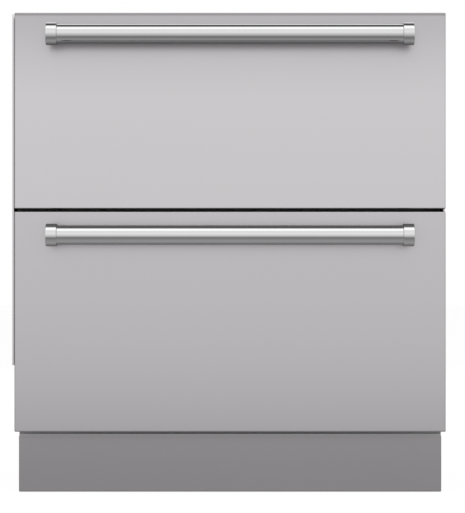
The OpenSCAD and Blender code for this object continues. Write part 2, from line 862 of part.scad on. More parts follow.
module light_lenses() {
  lens_w = 260;
  lens_d = 26;
  lens_h = 7;
  upper_lens_y = control_y + control_d + 12;
  lower_lens_y = liner_y + 14;
  color("lightyellow") for (place = [[upper_lens_y, upper_ceiling], [lower_lens_y, lower_ceiling]])
    translate([-lens_w / 2, place[0] + lens_d, place[1]]) rotate([90, 0, 0])
      linear_extrude(lens_d) translate([0, -lens_h]) {
        translate([0, 3]) square([lens_w, lens_h - 3]);
        translate([3, 0]) square([lens_w - 6, lens_h]);
        for (x = [3, lens_w - 3]) translate([x, 3]) circle(3);
      }
}

// ---- cold side ----

// Serpentine tube in two layers, threaded through flat fins
module finned_coil(w, rows, row_pitch, layer_pitch, tube_r, fin_pitch, fin_t) {
  margin = row_pitch / 2;
  straight = w - 2 * row_pitch;
  fin_count = floor(straight / fin_pitch);
  points = [for (layer = [0, 1], k = [0 : rows - 1])
    [layer * layer_pitch, (layer == 0 ? k : rows - 1 - k) * row_pitch]];
  translate([row_pitch, 0, margin]) {
    for (p = points) translate([0, p[0], p[1]]) rotate([0, 90, 0]) cylinder(r = tube_r, h = straight);
    for (i = [0 : len(points) - 2]) {
      a = points[i];
      b = points[i + 1];
      span = norm(b - a);
      tilt = atan2(b[1] - a[1], b[0] - a[0]);
      translate([i % 2 == 0 ? straight : 0, (a[0] + b[0]) / 2, (a[1] + b[1]) / 2])
        rotate([tilt, 0, 0]) mirror([i % 2, 0, 0]) rotate([0, 0, -90]) rotate_extrude(angle = 180)
          translate([span / 2, 0]) circle(tube_r);
    }
    for (k = [0 : fin_count - 1])
      translate([(straight - (fin_count - 1) * fin_pitch) / 2 + k * fin_pitch - fin_t / 2, -margin, -margin])
        cube([fin_t, layer_pitch + 2 * margin, (rows - 1) * row_pitch + 2 * margin]);
  }
}

module evaporator() {
  plate_t = 1.5;
  plate_y0 = evaporator_y0 - evaporator_pitch_z / 2;
  height = evaporator_rows * evaporator_pitch_z;
  color("silver") {
    translate([-evaporator_w / 2, evaporator_y0, evaporator_z0])
      finned_coil(evaporator_w, evaporator_rows, evaporator_pitch_z, evaporator_layer, tube_r,
        evaporator_pitch, fin_t);
    // end plates that carry the coil on the back wall of the liner
    both_sides() translate([-evaporator_end_x - plate_t, plate_y0, evaporator_z0])
      cube([plate_t, cavity_y1 - plate_y0, height]);
  }
}

// Air cover that stands on the compartment floor in front of the back wall
module air_cover(d) {
  hw = cavity_hw - cover_side_gap;
  height = d[5] - d[4] - 2 * cover_side_gap;
  depth = cover_depth - cover_side_gap;
  difference() {
    wall(cover_y, depth) translate([-hw, d[4] + cover_side_gap]) rounded(2 * hw, height, cavity_r);
    wall(cover_y + cover_t, depth) translate([-hw + cover_t, d[4] + cover_side_gap - skirt])
      square([2 * (hw - cover_t), height + 2 * skirt]);
  }
}

// A row of upright slots with round ends
module slot_row(count, pitch, w, h) {
  for (k = [0 : count - 1]) translate([(k - (count - 1) / 2) * pitch - w / 2, -h / 2])
    rounded(w, h, w / 2 - eps);
}

module upper_air_cover() {
  grille_r = cold_fan_d / 2 - 4;
  color(white) difference() {
    air_cover(UPPER);
    wall(cover_y - skirt, cover_t + 2 * skirt) {
      // grille in front of the fan
      translate([0, cold_fan_z]) difference() {
        circle(grille_r);
        circle(16);
        for (a = [0 : 30 : 150]) rotate(a) square([2 * grille_r + 2, 3], center = true);
        difference() {
          circle(35.5);
          circle(32.5);
        }
      }
      for (x = [-side_slots_x, side_slots_x]) translate([x, cold_fan_z]) slot_row(9, 12, 5, side_slots_h);
      translate([0, upper_floor + 20]) slot_row(30, 16, 6, 18);
    }
  }
}

module lower_air_cover() {
  color(white) difference() {
    air_cover(LOWER);
    wall(cover_y - skirt, cover_t + 2 * skirt) {
      translate([0, lower_ceiling - 40]) slot_row(30, 16, 6, 30);
      translate([0, lower_floor + 30]) slot_row(30, 16, 6, 18);
    }
  }
}

// One fan blade along +x: a slice of a thin tube whose axis runs outwards, so that the blade is cambered
module fan_blade(tip_r, hub_r, depth) {
  blade_t = 2;
  tip_hw = tip_r * 0.4;
  chord = norm([2 * tip_hw, depth]);
  rise = chord * 0.08;
  curve_r = (chord * chord / 4 + rise * rise) / (2 * rise);
  pitch = atan2(depth, 2 * tip_hw);
  intersection() {
    translate([0, (curve_r - rise) * sin(pitch), depth / 2 - (curve_r - rise) * cos(pitch)])
      rotate([0, 90, 0]) difference() {
        cylinder(r = curve_r + blade_t / 2, h = tip_r + skirt, $fn = 96);
        translate([0, 0, -skirt]) cylinder(r = curve_r - blade_t / 2, h = tip_r + 3 * skirt, $fn = 96);
      }
    linear_extrude(depth) intersection() {
      circle(tip_r);
      polygon([[hub_r / 2, -hub_r * 0.3], [tip_r, -tip_hw], [tip_r, tip_hw], [hub_r / 2, hub_r * 0.3]]);
    }
  }
}

// Propeller whose shaft points along +z
module propeller(d, depth, shaft_len) {
  hub_r = 15;
  hub_len = depth * 0.8;
  cylinder(r = hub_r, h = hub_len);
  cylinder(r = 3, h = hub_len + shaft_len);
  for (k = [0 : blade_count - 1]) rotate(k * 360 / blade_count) fan_blade(d / 2, hub_r, hub_len);
}

module fan_motor(d, length) {
  difference() {
    rotate_extrude() {
      square([d / 2 - 2, length]);
      translate([0, 2]) square([d / 2, length - 4]);
      for (z = [2, length - 2]) translate([d / 2 - 2, z]) circle(2);
    }
    translate([0, 0, -skirt]) cylinder(r = 3 + shaft_gap, h = length - 4 + skirt);
  }
}

module evaporator_fan() {
  color(black) translate([0, cold_fan_y, cold_fan_z]) rotate([-90, 0, 0])
    propeller(cold_fan_d - 8, fan_depth, 4 + motor_len - 6);
}

module evaporator_fan_motor() {
  arm_w = cold_fan_d + 20;
  plate_y0 = cold_motor_y + motor_len;
  color(grey) {
    translate([0, cold_motor_y, cold_fan_z]) rotate([-90, 0, 0]) fan_motor(motor_d, motor_len);
    // bracket from the motor back to the liner
    translate([-arm_w / 2, plate_y0 - 2, cold_fan_z - 9]) cube([arm_w, 2, 18]);
    for (x = [-arm_w / 2, arm_w / 2 - 8]) translate([x, plate_y0 - 2, cold_fan_z - 9])
      cube([8, cavity_y1 - plate_y0 + 2, 18]);
  }
}

// ---- machine base ----

module base_chassis() {
  depth = base_y1 - sheet_t - base_y0;
  height = cabinet_z - base_z;
  flange = 24;
  rail_h = 28;
  vent_y = base_y0 + 190;
  vent_pitch = 16;
  vent_w = 6;
  vent_h = 90;
  color(zinc) difference() {
    union() {
      translate([-base_hw, base_y0, base_z]) cube([2 * base_hw, depth, base_t]);
      both_sides() {
        translate([base_hw - base_t, base_y0, base_z]) cube([base_t, depth, height]);
        translate([base_hw - flange, base_y0, cabinet_z - base_t]) cube([flange, depth, base_t]);
        translate([base_hw - flange, base_y0, base_z]) cube([flange, base_t, height]);
        for (y = leg_ys) translate([leg_x, y, base_z]) cylinder(d = leg_d + 14, h = base_t + socket_h);
      }
      // cross member that stiffens the front under the cabinet
      translate([-base_hw, base_y0, cabinet_z - rail_h]) cube([2 * base_hw, base_t, rail_h]);
    }
    both_sides() for (y = leg_ys) translate([leg_x, y, base_z - skirt])
      cylinder(r = leg_d / 2 + leg_clear, h = base_t + socket_h + 2 * skirt);
    // side vents beside the compressor
    both_sides() for (k = [0 : 6]) translate([base_hw - base_t - skirt, vent_y + k * vent_pitch, base_z + 60])
      cube([base_t + 2 * skirt, vent_w, vent_h]);
  }
}

module rear_cover() {
  height = cabinet_z - base_z;
  color(zinc) wall(base_y1 - sheet_t, sheet_t) difference() {
    translate([-base_hw, base_z]) rounded(2 * base_hw, height, 4);
    for (col = [-2 : 2], row = [0 : 7])
      translate([col * louvre_pitch_x - louvre_w / 2, base_z + louvre_lift + row * louvre_pitch_z])
        rounded(louvre_w, louvre_h, louvre_r);
    translate([inlet_x - inlet_w / 2, inlet_z - inlet_h / 2]) square([inlet_w, inlet_h]);
  }
}

module power_inlet() {
  rim = 4;
  body_w = inlet_w - 2 * joint_gap;
  body_h = inlet_h - 2 * joint_gap;
  body_len = 26;
  flange_t = bead_h - 0.5;
  color(black) difference() {
    union() {
      wall(base_y1 - body_len, body_len) translate([inlet_x - body_w / 2, inlet_z - body_h / 2])
        rounded(body_w, body_h, 3);
      wall(base_y1, flange_t) translate([inlet_x - inlet_w / 2 - rim, inlet_z - inlet_h / 2 - rim])
        rounded(inlet_w + 2 * rim, inlet_h + 2 * rim, 4);
    }
    wall(base_y1 - body_len + 6, body_len) difference() {
      translate([inlet_x - body_w / 2 + 9, inlet_z - body_h / 2 + 4]) rounded(body_w - 18, body_h - 8, 3);
      for (k = [-1 : 1]) translate([inlet_x + k * 8 - 1, inlet_z - 2.5 + (k == 0 ? 2 : 0)]) square([2, 5]);
    }
  }
}

module compressor() {
  r = compressor_d / 2;
  foot_z = floor_top + grommet_h;
  shell_z = foot_z + 3;
  shell_h = compressor_h - 3;
  seam_z = shell_h * 0.55;
  round_r = 34;
  color(black) translate([compressor_x, compressor_y, 0]) {
    translate([0, 0, shell_z]) rotate_extrude($fn = 96) {
      square([r - round_r, shell_h]);
      translate([0, round_r]) square([r, shell_h - 2 * round_r]);
      intersection() {
        for (z = [round_r, shell_h - round_r]) translate([r - round_r, z]) circle(round_r);
        square([r, shell_h]);
      }
      translate([0, seam_z]) square([r + 4, 3]);
    }
    difference() {
      translate([-r - 4, -r + 22, foot_z]) linear_extrude(3) rounded(2 * r + 8, 2 * r - 44, 12);
      for (x = [-1, 1], y = [-1, 1]) translate([x * foot_x, y * foot_y, foot_z - skirt])
        cylinder(d = 14, h = 3 + 2 * skirt);
    }
    // terminal cover and its stub tubes
    translate([-22, -r - 16, shell_z + 34]) cube([44, 26, 46]);
    translate([r - 20, 0, shell_z + shell_h * 0.75]) rotate([0, 90, 0]) cylinder(r = 5, h = 36);
    translate([-r + 20, 0, shell_z + shell_h * 0.35]) rotate([0, -90, 0]) cylinder(r = 5, h = 36);
  }
}

module compressor_mounts() {
  color(grey) for (x = [-1, 1], y = [-1, 1])
    translate([compressor_x + x * foot_x, compressor_y + y * foot_y, floor_top]) rotate_extrude() {
      square([11, grommet_h]);
      square([6.8, grommet_h + 5]);
      translate([0, grommet_h + 3 + joint_gap]) square([10, 3]);
    }
}

module condenser() {
  color(black) translate([condenser_x - condenser_w / 2, condenser_y - coil_layer / 2, floor_top])
    finned_coil(condenser_w, coil_rows, coil_pitch, coil_layer, tube_r, condenser_pitch, fin_t);
}

module fan_shroud() {
  hole_r = hot_fan_d / 2 + 4;
  color(grey) {
    wall(hot_fan_y, 2.5) difference() {
      translate([hot_fan_x - condenser_w / 2, floor_top]) square([condenser_w, shroud_h]);
      translate([hot_fan_x, hot_fan_z]) circle(hole_r);
    }
    // ring round the blades
    wall(hot_fan_y, shroud_depth) translate([hot_fan_x, hot_fan_z]) difference() {
      circle(hole_r + 2.5);
      circle(hole_r);
    }
    // struts that carry the motor
    wall(hot_fan_y + motor_arm_y, 3) translate([hot_fan_x, hot_fan_z]) difference() {
      union() {
        for (a = [45, 135]) rotate(a) square([2 * hole_r + 24, 12], center = true);
        circle(motor_d / 2 + 5);
      }
      circle(motor_d / 2 + joint_gap);
    }
    for (a = [45 : 90 : 315]) translate([hot_fan_x, 0, hot_fan_z]) rotate([0, a, 0])
      translate([hole_r + 4, hot_fan_y, -6]) cube([8, motor_arm_y + 2, 12]);
  }
}

module condenser_fan_motor() {
  color(black) translate([hot_fan_x, hot_fan_y + fan_depth + 5, hot_fan_z]) rotate([-90, 0, 0])
    fan_motor(motor_d, motor_len + 8);
}

module condenser_fan() {
  color(white) translate([hot_fan_x, hot_fan_y + 1, hot_fan_z]) rotate([-90, 0, 0])
    propeller(hot_fan_d - 4, fan_depth, motor_len);
}

module drain_pan() {
  wall_t = 2.5;
  color(black) translate([pan_x0, pan_y0, floor_top]) difference() {
    linear_extrude(pan_h) rounded(pan_w, pan_d, pan_r);
    translate([wall_t, wall_t, wall_t]) linear_extrude(pan_h)
      rounded(pan_w - 2 * wall_t, pan_d - 2 * wall_t, pan_r - wall_t);
  }
}

module refrigerant_tubing() {
  shell_z = floor_top + grommet_h + 3;
  shell_h = compressor_h - 3;
  out_x = compressor_x + compressor_d / 2 + 16;
  out_z = shell_z + shell_h * 0.75;
  in_x = compressor_x - compressor_d / 2 - 16;
  in_z = shell_z + shell_h * 0.35;
  coil_z = floor_top + coil_pitch / 2;
  hot_y = condenser_y + coil_layer / 2;
  cool_y = condenser_y - coil_layer / 2;
  drier_len = 110;
  drier_x = coil_end_x - 30 - drier_len;
  cap_side = 50;
  cap_x = cap_side - base_hw;
  out_run = 24;
  cap_line_x = line_x - 8;
  cap_line_y = line_y - 8;
  wet_y = evaporator_y0 + evaporator_layer;
  line_r = 3.2;
  cap_r = 1.5;
  bend = 10;
  color(copper) {
    // discharge line to the condenser
    bent_tube([[out_x, compressor_y, out_z], [out_x + out_run, compressor_y, out_z],
               [out_x + out_run, hot_y, out_z], [out_x + out_run, hot_y, coil_z],
               [coil_end_x, hot_y, coil_z]], line_r, bend);
    // suction line from the evaporator
    bent_tube([[in_x, compressor_y, in_z], [in_x - 14, compressor_y, in_z],
               [in_x - 14, line_y, in_z], [line_x, line_y, in_z], [line_x, line_y, line_z],
               [line_x, wet_y, line_z], [evaporator_end_x, wet_y, line_z]], line_r, bend);
    // liquid line with the drier, and the capillary on to the evaporator
    rod([drier_x + drier_len, cool_y, coil_z], [coil_end_x, cool_y, coil_z], line_r);
    translate([drier_x, cool_y, coil_z]) rotate([0, 90, 0]) rotate_extrude() {
      translate([0, 6]) square([9.5, drier_len - 12]);
      square([5, drier_len]);
    }
    bent_tube([[drier_x, cool_y, coil_z], [cap_x, cool_y, coil_z], [cap_x, cap_line_y, coil_z],
               [cap_line_x, cap_line_y, coil_z], [cap_line_x, cap_line_y, line_z],
               [cap_line_x, evaporator_y0, line_z], [evaporator_end_x, evaporator_y0, line_z]],
      cap_r, bend);
  }
}

module leg(x, y) {
  color(zinc) translate([x, y, 0]) {
    rotate_extrude() {
      square([foot_d / 2 - 3, foot_h]);
      translate([0, 1.5]) square([foot_d / 2 - 1.5, foot_h - 4]);
      square([foot_d / 2 - 1.5, 3]);
      translate([foot_d / 2 - 1.5, 1.5]) circle(1.5);
    }
    translate([0, 0, foot_h - eps]) cylinder(r = leg_d * 0.9, h = hex_h, $fn = 6);
    cylinder(r = leg_d / 2, h = leg_top);
  }
}

module front_left_leg() {
  leg(-leg_x, leg_ys[0]);
}

module front_right_leg() {
  leg(leg_x, leg_ys[0]);
}

module rear_left_leg() {
  leg(-leg_x, leg_ys[1]);
}

module rear_right_leg() {
  leg(leg_x, leg_ys[1]);
}

module toe_kick() {
  color(steel) translate([panel_x0, kick_y, kick_floor_gap])
    folded_pan(panel_w, kick_t, kick_h - kick_floor_gap, fold_r, skin_t, 8);
}

// Spring clips that hold the toe kick on the front flanges of the base
module toe_kick_clips() {
  clip_w = 16;
  clip_h = 30;
  clip_y = kick_y + skin_t;
  color(zinc) both_sides() translate([base_hw - 20, clip_y, base_z + 30]) {
    cube([clip_w, base_y0 - clip_y, 1.5]);
    translate([0, 0, clip_h]) cube([clip_w, base_y0 - clip_y, 1.5]);
    translate([0, base_y0 - clip_y - 1.5, 0]) cube([clip_w, 1.5, clip_h]);
  }
}

// ---- one node for each piece ----

cabinet_wrapper();
cabinet_back();
face_frame();
cabinet_liner();
cabinet_foam();
left_side_trim();
right_side_trim();
control_housing();
light_lenses();
evaporator();
upper_air_cover();
lower_air_cover();
evaporator_fan_motor();
slide_rails(UPPER);  // upper_slide_rails
slide_rails(LOWER);  // lower_slide_rails
base_chassis();
rear_cover();
compressor();
compressor_mounts();
condenser();
fan_shroud();
condenser_fan_motor();
drain_pan();
refrigerant_tubing();
toe_kick();
toe_kick_clips();
power_inlet();
condenser_fan();
evaporator_fan();
power_button();
colder_button();
warmer_button();
front_left_leg();
front_right_leg();
rear_left_leg();
rear_right_leg();
slide_middles(UPPER);  // upper_slide_middles
outer_cages(UPPER);  // upper_outer_cages
inner_cages(UPPER);  // upper_inner_cages
slide_middles(LOWER);  // lower_slide_middles
outer_cages(LOWER);  // lower_outer_cages
inner_cages(LOWER);  // lower_inner_cages
drawer_panel(UPPER);  // upper_panel
drawer_front(UPPER);  // upper_front
drawer_front_liner(UPPER);  // upper_front_liner
drawer_gasket(UPPER);  // upper_gasket
drawer_bin(UPPER);  // upper_bin
drawer_carriers(UPPER);  // upper_carriers
handle_bar(UPPER);  // upper_handle_bar
handle_brackets(UPPER);  // upper_handle_brackets
handle_screws(UPPER);  // upper_handle_screws
drawer_panel(LOWER);  // lower_panel
drawer_front(LOWER);  // lower_front
drawer_front_liner(LOWER);  // lower_front_liner
drawer_gasket(LOWER);  // lower_gasket
drawer_bin(LOWER);  // lower_bin
drawer_carriers(LOWER);  // lower_carriers
handle_bar(LOWER);  // lower_handle_bar
handle_brackets(LOWER);  // lower_handle_brackets
handle_screws(LOWER);  // lower_handle_screws
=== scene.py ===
import json
import math

import bmesh
import bpy
from mathutils import Matrix, Vector

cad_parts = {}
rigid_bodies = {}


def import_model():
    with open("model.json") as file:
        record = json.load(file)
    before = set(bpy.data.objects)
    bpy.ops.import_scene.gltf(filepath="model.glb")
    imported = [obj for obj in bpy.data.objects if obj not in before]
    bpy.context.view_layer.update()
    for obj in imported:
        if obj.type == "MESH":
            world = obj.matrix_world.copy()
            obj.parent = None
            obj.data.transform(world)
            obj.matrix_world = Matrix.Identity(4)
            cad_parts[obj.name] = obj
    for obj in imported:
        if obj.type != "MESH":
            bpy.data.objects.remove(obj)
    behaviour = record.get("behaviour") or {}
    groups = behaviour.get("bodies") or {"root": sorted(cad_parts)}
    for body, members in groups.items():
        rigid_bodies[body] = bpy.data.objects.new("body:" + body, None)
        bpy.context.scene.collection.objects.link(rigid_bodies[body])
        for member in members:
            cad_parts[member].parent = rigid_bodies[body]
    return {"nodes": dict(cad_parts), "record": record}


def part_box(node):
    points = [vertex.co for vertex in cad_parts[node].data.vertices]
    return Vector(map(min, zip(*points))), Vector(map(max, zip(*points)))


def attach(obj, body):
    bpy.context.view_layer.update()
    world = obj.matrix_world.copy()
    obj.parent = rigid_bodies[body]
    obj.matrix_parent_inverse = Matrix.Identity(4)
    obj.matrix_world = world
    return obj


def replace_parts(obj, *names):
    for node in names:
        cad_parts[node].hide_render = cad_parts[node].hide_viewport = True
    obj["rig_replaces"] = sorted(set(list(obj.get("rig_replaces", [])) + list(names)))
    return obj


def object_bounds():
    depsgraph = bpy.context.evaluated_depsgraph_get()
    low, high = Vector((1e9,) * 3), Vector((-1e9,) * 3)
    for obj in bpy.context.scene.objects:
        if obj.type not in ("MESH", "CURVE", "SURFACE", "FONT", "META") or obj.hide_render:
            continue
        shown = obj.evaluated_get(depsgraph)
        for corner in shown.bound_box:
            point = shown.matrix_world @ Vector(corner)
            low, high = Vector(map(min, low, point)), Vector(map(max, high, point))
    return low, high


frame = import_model()
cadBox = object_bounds()
mm = 0.001
print("frame loaded:", len(frame["nodes"]), "nodes")


# ---- shader maths: a socket with arithmetic, and one way to make any other node

class Link:
    def __init__(self, finish, socket):
        self.finish = finish
        self.socket = socket

    def maths(self, operation, *others):
        return self.finish.node("ShaderNodeMath", {"operation": operation}, dict(enumerate([self, *others])))

    def __add__(self, other):
        return self.maths("ADD", other)

    def __radd__(self, other):
        return self.maths("ADD", other)

    def __sub__(self, other):
        return self.maths("SUBTRACT", other)

    def __rsub__(self, other):
        return self.finish.node("ShaderNodeMath", {"operation": "SUBTRACT"}, {0: other, 1: self})

    def __mul__(self, other):
        return self.maths("MULTIPLY", other)

    def __truediv__(self, other):
        return self.maths("DIVIDE", other)

    def __gt__(self, other):
        return self.maths("GREATER_THAN", other)

    def clamp(self, low, high):
        return self.maths("MAXIMUM", low).maths("MINIMUM", high)


class Finish:
    def __init__(self, tree):
        self.tree = tree
        tree.nodes.clear()

    def node(self, kind, settings=None, inputs=None, out=0):
        made = self.tree.nodes.new(kind)
        for key, value in (settings or {}).items():
            if key == "stops":
                fillRamp(made.color_ramp, value)
            else:
                setattr(made, key, value)
        for key, value in (inputs or {}).items():
            if isinstance(value, Link):
                self.tree.links.new(value.socket, made.inputs[key])
            else:
                made.inputs[key].default_value = value
        return Link(self, made.outputs[out]) if made.outputs else None

    def place(self, scale):  # object coordinates, stretched by scale per metre
        spot = self.node("ShaderNodeTexCoord", out="Object")
        return self.node("ShaderNodeMapping", {"vector_type": "POINT"}, {"Vector": spot, "Scale": scale})

    def axes(self, kind="Object"):  # across, deep and up, each by itself
        spot = self.node("ShaderNodeTexCoord", out=kind)
        parts = self.node("ShaderNodeSeparateXYZ", {}, {0: spot})
        return [Link(self, socket) for socket in parts.socket.node.outputs]

    def cells(self, scale):
        return self.node("ShaderNodeTexVoronoi", {"feature": "F1"},
                         {"Vector": self.place((scale, scale, scale)), "Scale": 1.0})

    def noise(self, scale, detail=3.0, rough=0.5):
        return self.node("ShaderNodeTexNoise", {"noise_dimensions": "3D"},
                         {"Vector": self.place(scale), "Scale": 1.0, "Detail": detail, "Roughness": rough})

    def nearRim(self, outline, width):  # 1 at the border of a box seen from the front, 0 from width inwards
        low, high = outline
        across, _, up = self.axes()
        side = (across - (low.x + high.x) / 2).maths("ABSOLUTE") - ((high.x - low.x) / 2 - width)
        level = (up - (low.z + high.z) / 2).maths("ABSOLUTE") - ((high.z - low.z) / 2 - width)
        return (side.maths("MAXIMUM", level) / width).clamp(0.0, 1.0)

    def below(self, top, reach, stops):  # a ramp down from a height, its stops at shares of reach
        return self.node("ShaderNodeValToRGB", {"stops": stops}, {0: (top - self.axes()[2]) / reach})

    def mixColour(self, factor, first, second, blend="MIX"):
        return self.node("ShaderNodeMix", {"data_type": "RGBA", "blend_type": blend},
                         {0: factor, 6: first, 7: second}, out=2)

    def bump(self, height, strength, distance):
        return self.node("ShaderNodeBump", {}, {"Height": height, "Strength": strength, "Distance": distance})

    def surface(self, **inputs):
        named = {key.replace("_", " "): value for key, value in inputs.items()}
        shader = self.node("ShaderNodeBsdfPrincipled", {}, named)
        self.node("ShaderNodeOutputMaterial", {}, {"Surface": shader})


def fillRamp(ramp, stops):
    while len(ramp.elements) > 1:
        ramp.elements.remove(ramp.elements[-1])
    for i, (place, value) in enumerate(stops):
        stop = ramp.elements[0] if i == 0 else ramp.elements.new(place)
        stop.position = place
        stop.color = (value, value, value, 1) if isinstance(value, float) else (*value, 1)


def newMaterial(name):
    made = bpy.data.materials.new(name)
    made.use_nodes = True
    return made, Finish(made.node_tree)


def grey(value, tint=(1.0, 1.0, 1.0)):
    return (value * tint[0], value * tint[1], value * tint[2], 1.0)


# ---- finishes

# rim and rimShade: width and depth of the painted shade round a sheet's outline
satin = {"bright": 0.72, "dull": 0.69, "tint": (1.0, 0.968, 0.994), "rough": 0.30, "grain": 0.05,
         "across": 5.0, "along": 2600.0, "bump": 0.05, "grainDepth": 0.00002, "cloud": 0.03, "rim": 2.2 * mm,
         "rimShade": 0.72}
# painted shade along the top of a drawer sheet: a dark line at its folded top edge and a soft darkening below
# it, as (mm down, shade)
paintedTopShade = {"reach": 150 * mm,
       "shades": [(0.0, 0.66), (1.2, 0.66), (2.9, 0.49), (4.7, 0.63), (6.4, 0.79), (30, 0.82), (60, 0.88),
                  (94, 0.935), (146, 1.0)]}


def satinSteel(name, level=1.0, outline=None, shadeTop=False):
    # sheet brushed along X; level makes a lighter or darker copy of it, painted light or shade; outline is
    # the sheet's box, with painted shade at its rim and, where asked, along its top
    made, f = newMaterial(name)
    grain = f.noise((satin["across"], satin["along"], satin["along"]), 4.0, 0.6)
    cloud = f.noise((3.0, 3.0, 3.0), 2.0)
    dull, bright = (grey(satin[shade] * level, satin["tint"]) for shade in ("dull", "bright"))
    colour = f.mixColour(grain, dull, bright)
    if outline:
        # painted shade at the sheet's rim, standing in for its folds reflecting darker surroundings
        rim = grey(satin["dull"] * level * satin["rimShade"], satin["tint"])
        colour = f.mixColour(f.nearRim(outline, satin["rim"]), colour, rim)
    # painted shade: a ramp that darkens the sheet's colour from its top down
    if shadeTop:
        stops = [(down * mm / paintedTopShade["reach"], shade) for down, shade in paintedTopShade["shades"]]
        colour = f.mixColour(1.0, colour, f.below(outline[1].z, paintedTopShade["reach"], stops), "MULTIPLY")
    roughness = satin["rough"] + (grain - 0.5) * satin["grain"] + (cloud - 0.5) * satin["cloud"]
    f.surface(Base_Color=colour, Metallic=1.0, Roughness=roughness,
              Normal=f.bump(grain, satin["bump"], satin["grainDepth"]))
    return made


def polishedSteel(name):
    made, f = newMaterial(name)
    lines = f.noise((2400.0, 8.0, 8.0), 3.0)  # fine turned lines round the bar
    cloud = f.noise((14.0, 30.0, 30.0), 2.0)
    f.surface(Base_Color=f.mixColour(cloud, grey(0.81), grey(0.84)), Metallic=1.0,
              Roughness=0.05 + lines * 0.02 + cloud * 0.01)
    return made


def zincSheet(name, level=0.55, rough=0.38):
    made, f = newMaterial(name)
    cells = f.cells(70.0)
    dust = f.noise((9.0, 9.0, 9.0), 4.0)
    spangle = (cells * 0.5 + dust * 0.5).clamp(0.0, 1.0)
    f.surface(Base_Color=f.mixColour(spangle, grey(level * 0.86, (1.0, 1.01, 1.03)), grey(level * 1.1)),
              Metallic=1.0, Roughness=rough + (spangle - 0.5) * 0.16, Normal=f.bump(dust, 0.05, 0.0002))
    return made


def enamelCoat(name, low, high, rough, peel=0.06):
    made, f = newMaterial(name)
    pebble = f.noise((420.0, 420.0, 420.0), 2.0)
    cloud = f.noise((4.0, 4.0, 4.0), 3.0)
    f.surface(Base_Color=f.mixColour(cloud, grey(low), grey(high)), Metallic=0.0,
              Roughness=rough + (pebble - 0.5) * 0.08, Normal=f.bump(pebble, peel, 0.0006))
    return made


def mouldedPlastic(name, low, high, rough=0.4, tint=(1.0, 1.0, 1.0), coat=0.0):
    made, f = newMaterial(name)
    spark = f.noise((900.0, 900.0, 900.0), 2.0)
    cloud = f.noise((6.0, 6.0, 6.0), 3.0)
    f.surface(Base_Color=f.mixColour(cloud, grey(low, tint), grey(high, tint)), Metallic=0.0,
              Roughness=rough + (spark - 0.5) * 0.10 + (cloud - 0.5) * 0.05, Coat_Weight=coat,
              Coat_Roughness=0.12, Normal=f.bump(spark, 0.04, 0.0002))
    return made


def softRubber(name, low, high):
    made, f = newMaterial(name)
    grainy = f.noise((260.0, 260.0, 260.0), 4.0)
    f.surface(Base_Color=f.mixColour(grainy, grey(low), grey(high)), Metallic=0.0, Sheen_Weight=0.15,
              Roughness=0.62 + (grainy - 0.5) * 0.18, Normal=f.bump(grainy, 0.10, 0.0003))
    return made


def insulationFoam(name):
    made, f = newMaterial(name)
    cells = f.cells(240.0)
    f.surface(Base_Color=f.mixColour(cells, (0.82, 0.74, 0.48, 1.0), (0.66, 0.56, 0.32, 1.0)), Roughness=0.9,
              Normal=f.bump(cells, 0.5, 0.001))
    return made


def copperPipe(name):
    made, f = newMaterial(name)
    stain = f.noise((30.0, 30.0, 30.0), 5.0, 0.65)
    f.surface(Base_Color=f.mixColour(stain, (0.78, 0.42, 0.27, 1.0), (0.46, 0.22, 0.13, 1.0)), Metallic=1.0,
              Roughness=0.24 + stain * 0.25, Normal=f.bump(stain, 0.05, 0.0003))
    return made


def lensPlastic(name):
    made, f = newMaterial(name)
    ribs = f.noise((700.0, 4.0, 4.0), 1.0)
    f.surface(Base_Color=f.mixColour(ribs, grey(0.86), grey(0.93, (1.0, 0.99, 0.95))),
              Roughness=0.22 + ribs * 0.08, Transmission_Weight=0.35, IOR=1.49,
              Normal=f.bump(ribs, 0.15, 0.0004))
    return made


slotFinish = {
    "satin_stainless": satinSteel("satinStainless"),
    "polished_handle": polishedSteel("polishedHandle"),
    "zinc_sheet": zincSheet("zincSheet"),
    "dark_enamel": enamelCoat("darkEnamel", 0.030, 0.036, 0.45),
    "white_liner": mouldedPlastic("whiteLiner", 0.78, 0.83, 0.34, (1.0, 1.0, 0.99)),
    # near-black, as painted shade for the dark gap between the drawer panels
    "front_shell": mouldedPlastic("frontShellGapShade", 0.012, 0.016, 0.5),
    "bin_plastic": mouldedPlastic("binPlastic", 0.76, 0.82, 0.24, (0.97, 0.99, 1.0), 0.25),
    "foam": insulationFoam("insulationFoam"),
    "gasket_vinyl": softRubber("gasketVinyl", 0.13, 0.17),
    "rubber_mount": softRubber("rubberMount", 0.015, 0.025),
    "lens": lensPlastic("lensPlastic"),
    "grey_plastic": mouldedPlastic("greyPlastic", 0.17, 0.20, 0.42),
    "black_plastic": mouldedPlastic("blackPlastic", 0.012, 0.018, 0.40),
    "white_blade": mouldedPlastic("whiteBlade", 0.70, 0.76, 0.38, (1.0, 1.0, 0.97)),
    "black_enamel": enamelCoat("blackEnamel", 0.010, 0.014, 0.26, 0.04),
    "aluminium_fins": zincSheet("aluminiumFins", 0.82, 0.33),
    "copper": copperPipe("copperPipe"),
    "ball_steel": zincSheet("cageSteel", 0.62, 0.22),
    "zinc_leg": zincSheet("zincLeg", 0.60, 0.26),
}
nodeSlot = {part["node"]: part["material_slot"] for part in frame["record"]["subparts"]}
nodeBody = {node: body for body, group in frame["record"]["behaviour"]["bodies"].items() for node in group}
for node, shape in frame["nodes"].items():
    shape.data.materials.clear()
    shape.data.materials.append(slotFinish[nodeSlot[node]])
print("finishes made:", len(slotFinish))


# ---- mesh helpers

def finishPiece(name, bm, slotName, body, standsFor=(), smooth=35.0, finish=None):
    bmesh.ops.recalc_face_normals(bm, faces=bm.faces)
    mesh = bpy.data.meshes.new(name)
    bm.to_mesh(mesh)
    bm.free()
    return placePiece(name, mesh, slotName, body, standsFor, smooth, finish)


